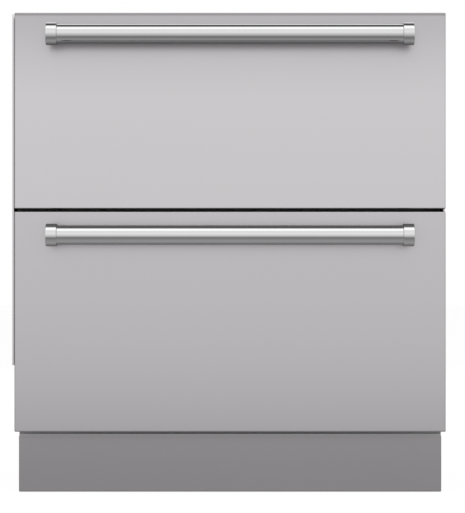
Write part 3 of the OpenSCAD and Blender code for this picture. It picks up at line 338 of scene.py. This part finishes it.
def placePiece(name, mesh, slotName, body, standsFor=(), smooth=35.0, finish=None):
    mesh.materials.clear()
    mesh.materials.append(finish or slotFinish[slotName])
    mesh.shade_smooth()
    mesh.set_sharp_from_angle(angle=math.radians(smooth))
    piece = bpy.data.objects.new(name, mesh)
    bpy.context.scene.collection.objects.link(piece)
    level = piece.modifiers.new("flatFaces", "WEIGHTED_NORMAL")  # keeps broad faces flat beside round edges
    level.keep_sharp = True
    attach(piece, body)
    if standsFor:
        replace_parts(piece, *standsFor)
    return piece


def sharpEdges(bm):
    sharp = math.radians(30)
    return [e for e in bm.edges if len(e.link_faces) == 2 and e.calc_face_angle(0) > sharp]


def softenEdges(bm, width, segments=2, edges=None):
    bmesh.ops.bevel(bm, geom=edges if edges is not None else sharpEdges(bm), offset=width,
                    offset_type="OFFSET", segments=segments, profile=0.5, affect="EDGES", clamp_overlap=True,
                    material=-1)


def addBlock(bm, low, high, edge=0.0, segments=2):  # a block between two corners, its edges broken
    low, high = Vector(low), Vector(high)
    made = bmesh.ops.create_cube(bm, size=1.0)["verts"]
    bmesh.ops.scale(bm, vec=high - low, verts=made)
    bmesh.ops.translate(bm, vec=(high + low) / 2, verts=made)
    if edge:
        softenEdges(bm, edge, segments, edges=list({e for v in made for e in v.link_edges}))
    return made


def addTurned(bm, profile, centre, axis, steps=96):  # profile of (along, radius) pairs turned round an axis
    turn = Vector((0, 0, 1)).rotation_difference(Vector(axis)).to_matrix()
    before = set(bm.verts)
    ring = [bm.verts.new((r, 0, a)) for a, r in profile]
    edges = [bm.edges.new(pair) for pair in zip(ring, ring[1:])]
    bmesh.ops.spin(bm, geom=ring + edges, cent=(0, 0, 0), axis=(0, 0, 1), angle=math.tau, steps=steps,
                   use_merge=True)
    bmesh.ops.remove_doubles(bm, verts=[v for v in bm.verts if v not in before], dist=1e-7)
    made = [v for v in bm.verts if v not in before]
    bmesh.ops.rotate(bm, cent=(0, 0, 0), matrix=turn, verts=made)
    bmesh.ops.translate(bm, vec=Vector(centre), verts=made)
    return made


def arc(centreAcross, centreAlong, radius, start, end, steps):  # points of a round stretch, angles in degrees
    angles = [math.radians(start + (end - start) * k / steps) for k in range(steps + 1)]
    return [(centreAcross + radius * math.cos(a), centreAlong + radius * math.sin(a)) for a in angles]


def addOutline(bm, low, high, radius, level, upright, steps):
    # edges of a rounded rectangle, in X and Z where upright
    before = set(bm.edges)
    corners = bmesh.ops.create_grid(bm, x_segments=1, y_segments=1, size=0.5)["verts"]
    bmesh.ops.scale(bm, vec=(high[0] - low[0], high[1] - low[1], 1), verts=corners)
    bmesh.ops.translate(bm, vec=((low[0] + high[0]) / 2, (low[1] + high[1]) / 2, 0), verts=corners)
    bmesh.ops.bevel(bm, geom=corners, offset=radius, segments=steps, profile=0.5, affect="VERTICES",
                    material=-1)
    edges = [e for e in bm.edges if e not in before]
    bmesh.ops.delete(bm, geom=list({f for e in edges for f in e.link_faces}), context="FACES_ONLY")
    verts = list({v for e in edges for v in e.verts})
    if upright:
        bmesh.ops.rotate(bm, cent=(0, 0, 0), matrix=Matrix.Rotation(math.radians(90), 3, "X"), verts=verts)
        bmesh.ops.translate(bm, vec=(0, level, 0), verts=verts)
    else:
        bmesh.ops.translate(bm, vec=(0, 0, level), verts=verts)
    return edges


def inTurn(edges, upright):  # the points of an outline in turn round its middle
    verts = list({v for e in edges for v in e.verts})
    middle = sum((v.co for v in verts), Vector()) / len(verts)
    return sorted(verts, key=lambda v: math.atan2((v.co - middle)[2 if upright else 1], (v.co - middle).x))


def addStack(bm, outlines, upright=True, steps=8, closed=False):
    # skin over a row of outlines (low, high, radius, level), each joined to the next point by point
    rings = [inTurn(addOutline(bm, *outline, upright, steps), upright) for outline in outlines]
    for first, second in zip(rings, rings[1:] + (rings[:1] if closed else [])):
        for k in range(len(first)):
            bm.faces.new((first[k - 1], first[k], second[k], second[k - 1]))
    if not closed:
        bm.faces.new(rings[0])
        bm.faces.new(rings[-1])


def grown(low, high, radius, profile):  # outlines of a box, one for each (offset outwards, level)
    return [((low[0] - out, low[1] - out), (high[0] + out, high[1] + out), max(radius + out, 0.2 * mm), level)
            for out, level in profile]


def cadCopy(node, bevel=0.0, finish=None):
    bm = bmesh.new()
    bm.from_mesh(frame["nodes"][node].data)
    bmesh.ops.remove_doubles(bm, verts=bm.verts, dist=1e-6)
    if bevel:
        bmesh.ops.dissolve_limit(bm, angle_limit=math.radians(0.4), verts=bm.verts, edges=bm.edges,
                                 delimit={"NORMAL"})
        softenEdges(bm, bevel)
    mesh = bpy.data.meshes.new(node)
    bm.to_mesh(mesh)
    bm.free()
    placePiece(node + "_dressed", mesh, nodeSlot[node], nodeBody[node], (node,), finish=finish)


# ---- camera and studio

view = {"across": 0.0068, "height": 0.4214, "distance": 3.6, "focalPixels": 2057.2, "photoHeight": 513}
cameraData = bpy.data.cameras.new("camera")
cameraData.sensor_width = 36.0
cameraData.lens = cameraData.sensor_width * view["focalPixels"] / view["photoHeight"]
cameraObject = bpy.data.objects.new("camera", cameraData)
cameraObject.location = (view["across"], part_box("upper_panel")[0].y - view["distance"], view["height"])
cameraObject.rotation_euler = (math.radians(90), 0, 0)
bpy.context.scene.collection.objects.link(cameraObject)
bpy.context.scene.camera = cameraObject
bpy.context.scene.view_settings.view_transform = "Standard"

# what shiny metal sees of the studio, by height above the horizon in degrees: front floor, wall, softbox,
# dark ceiling, white backdrop behind
studioBands = [(-180, 0.05), (-100, 0.12), (-84, 0.34), (-60, 0.30), (-46, 0.27), (-34, 0.36), (-18, 0.52),
               (-5, 0.68), (6, 0.84), (18, 0.90), (42, 0.84), (52, 1.0), (60, 1.25), (74, 1.25), (84, 0.70),
               (93, 0.20), (100, 0.06), (124, 0.06), (134, 1.1), (150, 1.2), (180, 1.2)]
studio = {"ambient": 0.50, "sideLevel": 0.62, "secondLook": 0.13, "floorSize": 14.0, "floorShade": 0.80,
          "floorShow": 0.12, "floorGlow": 1.06, "shadeNear": 0.5, "shadeFar": 1.6}
# painted shadow on the floor that only shiny metal sees, darker near the object, from the object out to
# shadeFar
floorBands = [(0.0, 0.33), (0.19, 0.28), (0.34, 0.20), (0.56, 0.16), (1.0, 0.13)]


def buildWorld():
    world = bpy.data.worlds.new("studio")
    bpy.context.scene.world = world
    world.use_nodes = True
    f = Finish(world.node_tree)
    across, depth, up = f.axes("Generated")
    height = f.node("ShaderNodeMath", {"operation": "ARCTAN2"}, {0: up, 1: depth * -1.0})
    stops = [((degrees + 180) / 360, level) for degrees, level in studioBands]
    bands = f.node("ShaderNodeValToRGB", {"stops": stops}, {0: height / math.tau + 0.5})
    seen = f.mixColour((across * across).clamp(0.0, 1.0), bands, grey(studio["sideLevel"]))
    path = f.node("ShaderNodeLightPath").socket.node.outputs
    again = Link(f, path["Glossy Depth"]) > 1.5  # metal that is seen in metal looks deeper
    shaded = f.mixColour(again, seen, f.mixColour(studio["secondLook"], grey(0.0), seen))
    plain = f.mixColour(Link(f, path["Is Diffuse Ray"]), shaded, grey(studio["ambient"]))
    clear = Link(f, path["Is Camera Ray"]) + Link(f, path["Is Transmission Ray"])
    colour = f.mixColour(clear.clamp(0.0, 1.0), plain, grey(1.0))
    light = f.node("ShaderNodeBackground", {}, {"Color": colour, "Strength": 1.0})
    f.node("ShaderNodeOutputWorld", {}, {"Surface": light})


def buildFloor():
    bm = bmesh.new()
    bmesh.ops.create_grid(bm, x_segments=8, y_segments=8, size=studio["floorSize"])
    mesh = bpy.data.meshes.new("floor")
    bm.to_mesh(mesh)
    bm.free()
    made, f = newMaterial("paleFloor")
    path = f.node("ShaderNodeLightPath").socket.node.outputs
    paint = f.node("ShaderNodeBsdfDiffuse", {}, {"Color": grey(studio["floorShade"])})
    glow = f.node("ShaderNodeEmission", {}, {"Color": grey(1.0), "Strength": studio["floorGlow"]})
    shown = f.node("ShaderNodeMixShader", {}, {0: studio["floorShow"], 1: glow, 2: paint})
    # shiny metal sees a painted shadow on the floor close by, and the studio's bands in place of the rest
    across, depth, _ = f.axes()
    beside = across.maths("ABSOLUTE") - cadBox[1].x
    before = depth.maths("ABSOLUTE") - cadBox[1].y
    away = beside.maths("MAXIMUM", before).clamp(0.0, studio["shadeFar"])
    near = f.node("ShaderNodeValToRGB", {"stops": floorBands}, {0: away / studio["shadeFar"]})
    dark = f.node("ShaderNodeEmission", {}, {"Color": near, "Strength": 1.0})
    through = f.node("ShaderNodeBsdfTransparent")
    fade = ((away - studio["shadeNear"]) / (studio["shadeFar"] - studio["shadeNear"])).clamp(0.0, 1.0)
    mirrored = f.node("ShaderNodeMixShader", {}, {0: fade, 1: dark, 2: through})
    shaded = f.node("ShaderNodeMixShader", {}, {0: Link(f, path["Is Glossy Ray"]), 1: paint, 2: mirrored})
    mixed = f.node("ShaderNodeMixShader", {}, {0: Link(f, path["Is Camera Ray"]), 1: shaded, 2: shown})
    f.node("ShaderNodeOutputMaterial", {}, {"Surface": mixed})
    mesh.materials.append(made)
    floor = bpy.data.objects.new("floor", mesh)
    bpy.context.scene.collection.objects.link(floor)


lampSet = {  # name: place, aim, width, height, watts
    "keySoftbox": ((0.0, -2.1, 2.7), (0.0, -0.2, 0.5), 2.6, 1.1, 46.0),
    "leftFill": ((-2.9, -1.6, 1.5), (0.0, 0.0, 0.4), 1.4, 1.8, 14.0),
    "rightFill": ((2.9, -1.6, 1.5), (0.0, 0.0, 0.4), 1.4, 1.8, 14.0),
    "backFill": ((0.0, 3.0, 2.2), (0.0, 0.3, 0.5), 2.4, 1.4, 26.0),
}


def buildLamps():
    for name, (place, aim, width, height, watts) in lampSet.items():
        data = bpy.data.lights.new(name, "AREA")
        data.shape = "RECTANGLE"
        data.size, data.size_y, data.energy = width, height, watts
        lamp = bpy.data.objects.new(name, data)
        lamp.location = place
        lamp.rotation_euler = (Vector(aim) - Vector(place)).to_track_quat("-Z", "Y").to_euler()
        lamp.visible_glossy = False  # shiny metal sees the softbox in the studio's bands
        bpy.context.scene.collection.objects.link(lamp)


buildWorld()
buildFloor()
buildLamps()
print("studio built")


# ---- folded panels: the two drawer panels and the toe kick

pan = {"sheet": 1.2 * mm, "fold": 2.0 * mm, "foldSteps": 5, "lip": 14 * mm, "kickLip": 8 * mm,
       "stiffenerWidth": 60 * mm, "stiffenerThick": 2 * mm}
# a grey rubber strip on the toe kick's top, put in the shadow gap under the lower panel as painted shade, and
# the steel strip that holds it
kickShadeStrip = {"grip": 4 * mm, "holder": 2.6 * mm, "top": 10 * mm, "thick": 3 * mm, "end": 1 * mm,
            "edge": 0.25 * mm, "proud": 0.3 * mm, "setBack": 0.2 * mm}


def addShell(bm, low, high, fold, lip):  # one skin of a pan, folded all round, with a window in its back
    before = set(bm.faces)
    addBlock(bm, low, high, fold, pan["foldSteps"])
    back = max((f for f in bm.faces if f not in before), key=lambda f: f.normal.y * f.calc_area())
    bmesh.ops.inset_region(bm, faces=[back], thickness=lip - fold, use_even_offset=True)
    window = back.edges[:]
    bmesh.ops.delete(bm, geom=[back], context="FACES_ONLY")
    return window


def addFoldedPan(bm, low, high, lip):  # sheet folded back at its four sides, then in behind the face
    t = pan["sheet"]
    wall = Vector((t, t, t))
    outer = addShell(bm, low, high, pan["fold"], lip)
    inner = addShell(bm, low + wall, high - wall, pan["fold"] - t, lip - t)
    bmesh.ops.bridge_loops(bm, edges=outer + inner)


def stemPlaces(side):  # where the two stems of a handle stand, as their feet reach the ends of its box
    low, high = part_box(side + "_handle_brackets")
    return low.x + handle["footRadius"], high.x - handle["footRadius"]


def buildPanels():
    # the upper sheet's steel is a lighter copy (1.11), painted light, and only it gets the painted shade
    # along its top
    for side, level in (("upper", 1.11), ("lower", 1.0)):
        low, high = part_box(side + "_panel")
        bm = bmesh.new()
        addFoldedPan(bm, low, high, pan["lip"])
        inner = low.y + pan["sheet"]
        for x in stemPlaces(side):
            addBlock(bm, (x - pan["stiffenerWidth"] / 2, inner, low.z + pan["sheet"]),
                     (x + pan["stiffenerWidth"] / 2, inner + pan["stiffenerThick"], high.z - pan["sheet"]))
        finishPiece(side + "_panel_skin", bm, "satin_stainless", side + "_drawer", (side + "_panel",),
                    finish=satinSteel(side + "PanelSteel", level, (low, high), shadeTop=side == "upper"))
    low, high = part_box("toe_kick")
    bm = bmesh.new()
    addFoldedPan(bm, low, high, pan["kickLip"])
    # the toe kick's steel is a darker copy (0.76), painted shade for its recess under the lower panel
    shadedKickSteel = satinSteel("shadedKickSteel", 0.76)
    finishPiece("toe_kick_skin", bm, "satin_stainless", "cabinet", ("toe_kick",), finish=shadedKickSteel)
    k = kickShadeStrip
    # the grey strip stands where there is only shadow above the toe kick: painted shade
    for name, slotName, bottom, top, inset, finish in (
            ("toe_kick_holder", "satin_stainless", -k["grip"], k["holder"], -k["proud"], shadedKickSteel),
            ("toe_kick_shade_strip", "rubber_mount", k["holder"], k["top"], k["setBack"],
             softRubber("shadeStripRubber", 0.17, 0.22))):
        bm = bmesh.new()
        addBlock(bm, (low.x + k["end"], low.y + inset, high.z + bottom),
                 (high.x - k["end"], low.y + inset + k["thick"], high.z + top), k["edge"])
        finishPiece(name, bm, slotName, "cabinet", finish=finish)


# ---- handles

handle = {"barRadius": 16.5 * mm, "wall": 2 * mm, "collarStep": 2.9 * mm, "collarLength": 19 * mm,
          "cap": 4 * mm, "collarGap": 0.05 * mm, "stemRadius": 8.5 * mm, "stemStart": 1 * mm,
          "footRadius": 14 * mm, "footEdge": 2 * mm, "steps": 128, "stemSteps": 64, "round": 0.9 * mm}


def buildHandles():
    for side in ("upper", "lower"):
        body = side + "_drawer"
        low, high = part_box(side + "_handle_bar")
        axisY, axisZ = (low.y + high.y) / 2, (low.z + high.z) / 2
        h = handle
        outer, inner = h["barRadius"], h["barRadius"] - h["wall"]
        length = high.x - low.x
        bm = bmesh.new()
        addTurned(bm, [(0, inner), (0, outer), (length, outer), (length, inner), (0, inner)],
                  (low.x, axisY, axisZ), (1, 0, 0), h["steps"])
        finishPiece(side + "_bar_tube", bm, "polished_handle", body, (side + "_handle_bar",))

        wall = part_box(side + "_handle_brackets")[1].y
        collar = outer + h["collarStep"]
        bore = outer + h["collarGap"]
        bm = bmesh.new()
        for x, way in zip(stemPlaces(side), (1, -1)):
            addTurned(bm, [(0, 0), (0, collar), (h["collarLength"], collar), (h["collarLength"], bore),
                           (h["cap"], bore), (h["cap"], 0)],
                      (x - way * h["collarLength"] / 2, axisY, axisZ), (way, 0, 0), h["steps"])
        softenEdges(bm, h["round"], 4)
        reach = wall - axisY
        flare = h["footRadius"] - h["stemRadius"]
        foot = arc(h["footRadius"], reach - h["footEdge"] - flare, flare, 180, 90, 9)
        start = outer + h["stemStart"]
        profile = [(start, 0), (start, h["stemRadius"]), *[(along, across) for across, along in foot],
                   (reach, h["footRadius"]), (reach, 0)]
        for x in stemPlaces(side):
            addTurned(bm, profile, (x, axisY, axisZ), (0, 1, 0), h["stemSteps"])
        finishPiece(side + "_handle_collars", bm, "polished_handle", body, (side + "_handle_brackets",))


buildPanels()
buildHandles()
print("panels and handles modelled")


# ---- behind each panel: the insulated front, its liner, the gasket and the bin

gasket = {"width": 15 * mm, "edge": 3 * mm, "radius": 12 * mm, "foot": 1.6 * mm, "folds": 2,
          "foldDepth": 2.2 * mm, "foldIn": 1.5 * mm, "bulb": 2.6 * mm}
liner = {"plate": 2.5 * mm, "plateRim": 19 * mm, "plugInset": 30 * mm, "plugRadius": 18 * mm, "dish": 34 * mm,
         "dishDepth": 6 * mm, "round": 3 * mm, "fillet": 2 * mm, "plateRadius": 12 * mm, "plateEdge": 1 * mm}
tub = {"wall": 2.5 * mm, "rim": 3 * mm, "bead": 1.2 * mm, "draft": 8 * mm, "radius": 26 * mm,
       "floorRadius": 16 * mm, "sideFlange": 15.8 * mm, "ribs": 6, "ribWidth": 3 * mm, "ribHeight": 3 * mm,
       "ribInset": 50 * mm, "ribMargin": 40 * mm, "ribSink": 1 * mm, "ribEdge": 0.6 * mm}


def buildGasket(side):
    low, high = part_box(side + "_gasket")
    g = gasket
    y0, y1 = low.y, high.y
    middle = g["width"] / 2
    # half section from the foot to the magnet bulb: (distance from the middle line, depth)
    folds = [(middle - 1.0 * mm, y1 - g["foot"])]
    pitch = (y1 - y0 - g["foot"] - g["bulb"]) / g["folds"]
    for k in range(g["folds"]):
        top = y1 - g["foot"] - k * pitch
        folds += [(middle - g["foldDepth"] - g["foldIn"], top - pitch * 0.25),
                  (middle - g["foldDepth"], top - pitch * 0.75)]
    half = [(middle - 0.4 * mm, y1), (middle, y1 - 0.5 * mm), (middle, y1 - g["foot"] + 0.3 * mm), *folds,
            (middle - 2.6 * mm, y0 + g["bulb"] + 0.2 * mm),
            *arc(middle - 2.6 * mm, y0 + g["bulb"] / 2, g["bulb"] / 2, 90, -90, 6)]
    section = half + [(-out, level) for out, level in reversed(half)]
    inset = Vector((middle, middle))
    bm = bmesh.new()
    addStack(bm, grown(Vector((low.x, low.z)) + inset, Vector((high.x, high.z)) - inset,
                       g["radius"] + g["edge"] + middle, section), closed=True)
    finishPiece(side + "_gasket_bellows", bm, "gasket_vinyl", side + "_drawer", (side + "_gasket",),
                smooth=60.0)


def buildFrontLiner(side):
    low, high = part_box(side + "_front_liner")
    n = liner
    back, plateFace, plugFace = low.y, low.y + n["plate"], high.y
    r, fillet, edge = n["round"], n["fillet"], n["plateEdge"]
    plug = -n["plateRim"] - n["plugInset"]
    dish = plug - n["dish"]
    rows = [(0.0, back, n["plateRadius"]), (0.0, plateFace - edge, n["plateRadius"]),
            (-edge, plateFace, n["plateRadius"] - edge)]
    for wall, turn in ((plug, arc(fillet, plateFace + fillet, fillet, 270, 180, 4)),
                       (plug, arc(-r, plugFace - r, r, 0, 90, 6)),
                       (dish, arc(r, plugFace - r, r, 90, 180, 6)),
                       (dish, arc(-fillet, plugFace - n["dishDepth"] + fillet, fillet, 0, -90, 4))):
        rows += [(wall + across, along, n["plugRadius"] + across) for across, along in turn]
    outlines = [((low.x - out, low.z - out), (high.x + out, high.z + out), radius, level)
                for out, level, radius in rows]
    bm = bmesh.new()
    addStack(bm, outlines)
    finishPiece(side + "_front_liner_skin", bm, "white_liner", side + "_drawer", (side + "_front_liner",),
                smooth=50.0)


def tubOutlines(low, high, grow, floor, top, radius):
    # walls of a drafted tub from its rounded floor to its top
    b = tub
    r = b["floorRadius"] + grow
    draft = b["draft"]
    rows = [(r * (math.sin(a) - 1) - draft, floor + r * (1 - math.cos(a)))
            for a in (math.radians(10 * k) for k in range(10))] + [(0.0, top)]
    return [((low.x - out - grow, low.y - out - grow), (high.x + out + grow, high.y + out + grow),
             max(radius + grow + out * 0.5, 4 * mm), level) for out, level in rows]


def buildBin(side):
    low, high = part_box(side + "_bin")
    b = tub
    wallLow = Vector((low.x + b["sideFlange"], low.y))
    wallHigh = Vector((high.x - b["sideFlange"], high.y))
    floor = low.z + b["ribHeight"]
    bead, edge = b["bead"], 0.4 * mm
    inside = tubOutlines(wallLow, wallHigh, -b["wall"], floor + b["wall"], high.z - bead, b["radius"])
    outside = tubOutlines(wallLow, wallHigh, 0.0, floor, high.z - b["rim"], b["radius"])

    flange = grown(low, high, b["radius"], [
        (-bead, high.z), (-0.3 * mm, high.z - edge), (0.0, high.z - bead),
        (0.0, high.z - b["rim"] + 0.5 * mm), (-0.5 * mm, high.z - b["rim"])])
    lipInside = grown(wallLow, wallHigh, b["radius"], [
        (-b["wall"] + edge, high.z - 0.3 * mm), (-b["wall"] + bead, high.z)])
    bm = bmesh.new()
    addStack(bm, inside + lipInside + flange + outside[::-1], upright=False, steps=12)
    pitch = (wallHigh.x - wallLow.x - 2 * b["draft"] - 2 * b["ribMargin"]) / (b["ribs"] - 1)
    for k in range(b["ribs"]):
        x = (k - (b["ribs"] - 1) / 2) * pitch
        addBlock(bm, (x - b["ribWidth"] / 2, low.y + b["ribInset"], low.z),
                 (x + b["ribWidth"] / 2, high.y - b["ribInset"], floor + b["ribSink"]), b["ribEdge"])
    finishPiece(side + "_bin_tub", bm, "bin_plastic", side + "_drawer", (side + "_bin",), smooth=60.0)


for side in ("upper", "lower"):
    buildGasket(side)
    buildFrontLiner(side)
    buildBin(side)
print("gaskets, front liners and bins modelled")


# ---- levelling legs

legForm = {"footRadius": 20 * mm, "footHeight": 9 * mm, "footRound": 1.5 * mm, "neck": 0.5, "rod": 5 * mm,
           "crest": 0.55 * mm, "crestHalf": 0.15 * mm, "sink": 0.3 * mm, "pitch": 1.5 * mm,
           "hexRadius": 9 * mm, "hexTop": 22 * mm, "hexEdge": 0.6 * mm, "tip": 1 * mm, "turnSteps": 20}


def addThread(bm, x, y, z0, z1):  # a closed ridge wound round the rod
    g = legForm
    turns = (z1 - z0) / g["pitch"] - 1
    steps = round(turns * g["turnSteps"])
    root, crest, half = g["rod"] - g["crest"], g["rod"], g["pitch"] * 0.45
    corners = [bm.verts.new((x + r, y, z0 + half + dz)) for r, dz in
               ((root - g["sink"], -half), (crest, -g["crestHalf"]), (crest, g["crestHalf"]),
                (root - g["sink"], half))]
    face = bm.faces.new(corners)
    bmesh.ops.spin(bm, geom=[face], cent=(x, y, 0), axis=(0, 0, 1), dvec=(0, 0, g["pitch"] / g["turnSteps"]),
                   angle=math.tau * turns, steps=steps, use_duplicate=False)


def buildLegs():
    for end in ("front_left", "front_right", "rear_left", "rear_right"):
        low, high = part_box(end + "_leg")
        x, y = (low.x + high.x) / 2, (low.y + high.y) / 2
        g = legForm
        root, tip, hexTop, top = g["rod"] - g["crest"], g["tip"], g["hexTop"], g["footHeight"]
        foot = [(0, 0), (0, g["footRadius"] - g["footRound"])]
        foot += [(along, across) for across, along in
                 arc(g["footRadius"] - g["footRound"], g["footRound"], g["footRound"], -90, 60, 5)]
        foot += [(top - 3 * mm, g["footRadius"] - 2.5 * mm),
                 (top - 1 * mm, g["footRadius"] * (g["neck"] + 0.05)),
                 (top, g["footRadius"] * g["neck"]), (top, 0)]
        bm = bmesh.new()
        addTurned(bm, foot, (x, y, 0), (0, 0, 1), 48)
        hexagon = bmesh.ops.create_cone(bm, cap_ends=True, segments=6, radius1=g["hexRadius"],
                                        radius2=g["hexRadius"], depth=hexTop - top)["verts"]
        bmesh.ops.translate(bm, vec=(x, y, (hexTop + top) / 2), verts=hexagon)
        softenEdges(bm, g["hexEdge"], 2, edges=list({e for v in hexagon for e in v.link_edges}))
        rod = high.z - hexTop
        addTurned(bm, [(0, 0), (0, root), (rod - tip, root), (rod, root - tip), (rod, 0)], (x, y, hexTop),
                  (0, 0, 1), 32)
        addThread(bm, x, y, hexTop, high.z - tip)
        finishPiece(end + "_leg_screw", bm, "zinc_leg", end + "_leg", (end + "_leg",), smooth=30.0)


buildLegs()
print("legs modelled")


# ---- screws that hold the sheets

screw = {"headRadius": 4.2 * mm, "headHeight": 1.2 * mm, "taper": 0.94, "washer": 6 * mm,
         "washerThick": 0.6 * mm, "washerEdge": 0.4 * mm, "margin": 12 * mm, "ribRise": 2 * mm, "rows": 6,
         "columns": 7, "coverColumns": 5}


def addHexScrew(bm, spot, way):  # washer-faced hexagon head seen on sheet metal
    turn = Vector((0, 0, 1)).rotation_difference(Vector(way)).to_matrix()
    thick = screw["washerThick"]
    made = addTurned(bm, [(0, 0), (0, screw["washer"]), (thick, screw["washer"] - screw["washerEdge"]),
                          (thick, 0)], (0, 0, 0), (0, 0, 1), 24)
    radius = screw["headRadius"]
    head = bmesh.ops.create_cone(bm, cap_ends=True, segments=6, radius1=radius,
                                 radius2=radius * screw["taper"], depth=screw["headHeight"])["verts"]
    bmesh.ops.translate(bm, vec=(0, 0, thick + screw["headHeight"] / 2), verts=head)
    made += head
    bmesh.ops.rotate(bm, cent=(0, 0, 0), matrix=turn, verts=made)
    bmesh.ops.translate(bm, vec=Vector(spot), verts=made)


def buildScrews():
    low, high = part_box("cabinet_back")
    bm = bmesh.new()
    y = high.y - screw["ribRise"]
    margin, rows, columns, cover = (screw[key] for key in ("margin", "rows", "columns", "coverColumns"))
    levels = [low.z + margin + k * (high.z - low.z - 2 * margin) / (rows - 1) for k in range(rows)]
    for x in (low.x + margin, high.x - margin):
        for z in levels:
            addHexScrew(bm, (x, y, z), (0, 1, 0))
    for k in range(1, columns - 1):
        x = low.x + margin + k * (high.x - low.x - 2 * margin) / (columns - 1)
        for z in (levels[0], levels[-1]):
            addHexScrew(bm, (x, y, z), (0, 1, 0))
    low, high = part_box("rear_cover")
    for k in range(cover):
        x = low.x + margin + k * (high.x - low.x - 2 * margin) / (cover - 1)
        for z in (low.z + margin, high.z - margin):
            addHexScrew(bm, (x, high.y, z), (0, 1, 0))
    finishPiece("back_screws", bm, "zinc_sheet", "cabinet", smooth=30.0)


buildScrews()


# ---- the control housing's display pane and the marks on its buttons

control = {"paneGap": 0.4 * mm, "paneBack": 1.4 * mm, "paneThick": 0.7 * mm, "paneEdge": 0.2 * mm,
           "paneLeft": 53 * mm, "paneRight": 107 * mm, "paneLow": 793 * mm, "paneTop": 803 * mm,
           "markReach": 2.1 * mm, "markWidth": 0.7 * mm, "markRaise": 0.12 * mm, "markEdge": 0.05 * mm}


def buildControls():
    c = control
    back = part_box("control_housing")[0].y + c["paneBack"]
    gap = c["paneGap"]
    bm = bmesh.new()
    addBlock(bm, (c["paneLeft"] + gap, back - c["paneThick"], c["paneLow"] + gap),
             (c["paneRight"] - gap, back, c["paneTop"] - gap), c["paneEdge"])
    finishPiece("display_pane", bm, "black_plastic", "cabinet",
                finish=mouldedPlastic("displayPane", 0.010, 0.014, 0.10, (0.9, 1.0, 1.1), 1.0))
    markFinish = mouldedPlastic("buttonMark", 0.62, 0.68, 0.45)
    half, reach, edge = c["markWidth"] / 2, c["markReach"], c["markEdge"]
    for name in ("power", "colder", "warmer"):
        low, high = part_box(name + "_button")
        x, z = (low.x + high.x) / 2, (low.z + high.z) / 2
        front, back = low.y - c["markRaise"], low.y + c["markRaise"]
        bm = bmesh.new()
        if name == "power":  # a ring
            inner = reach - c["markWidth"]
            addTurned(bm, [(0, inner), (0, reach), (back - front, reach), (back - front, inner), (0, inner)],
                      (x, front, z), (0, 1, 0), 32)
        else:  # a dash, crossed by an upright for the warmer one
            addBlock(bm, (x - reach, front, z - half), (x + reach, back, z + half), edge)
        if name == "warmer":
            for way in (-1, 1):
                ends = sorted((z + way * half, z + way * reach))
                addBlock(bm, (x - half, front, ends[0]), (x + half, back, ends[1]), edge)
        finishPiece(name + "_mark", bm, "grey_plastic", name + "_button", finish=markFinish)


buildControls()
print("screws and controls modelled")


# ---- every other piece keeps its CAD form, its edges broken where they show

edgeBreak = {  # in mm
    "left_side_trim": 0.25, "right_side_trim": 0.25, "cabinet_wrapper": 0.4, "upper_front": 1.5,
    "lower_front": 1.5, "drain_pan": 0.5, "power_inlet": 0.4, "control_housing": 0.8,
}
dressed = {name for piece in bpy.data.objects for name in piece.get("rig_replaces", [])}
# the side trims' steel is a lighter copy (1.28), painted light where they sit back in shade beside the panels
litTrimSteel = satinSteel("litTrimSteel", 1.28)
ownFinish = {"face_frame": enamelCoat("frameEnamel", 0.20, 0.23, 0.38), "left_side_trim": litTrimSteel,
             "right_side_trim": litTrimSteel}
for node in frame["nodes"]:
    if node not in dressed and node != "cabinet_foam":
        cadCopy(node, bevel=edgeBreak.get(node, 0.0) * mm, finish=ownFinish.get(node))
print("CAD pieces dressed")
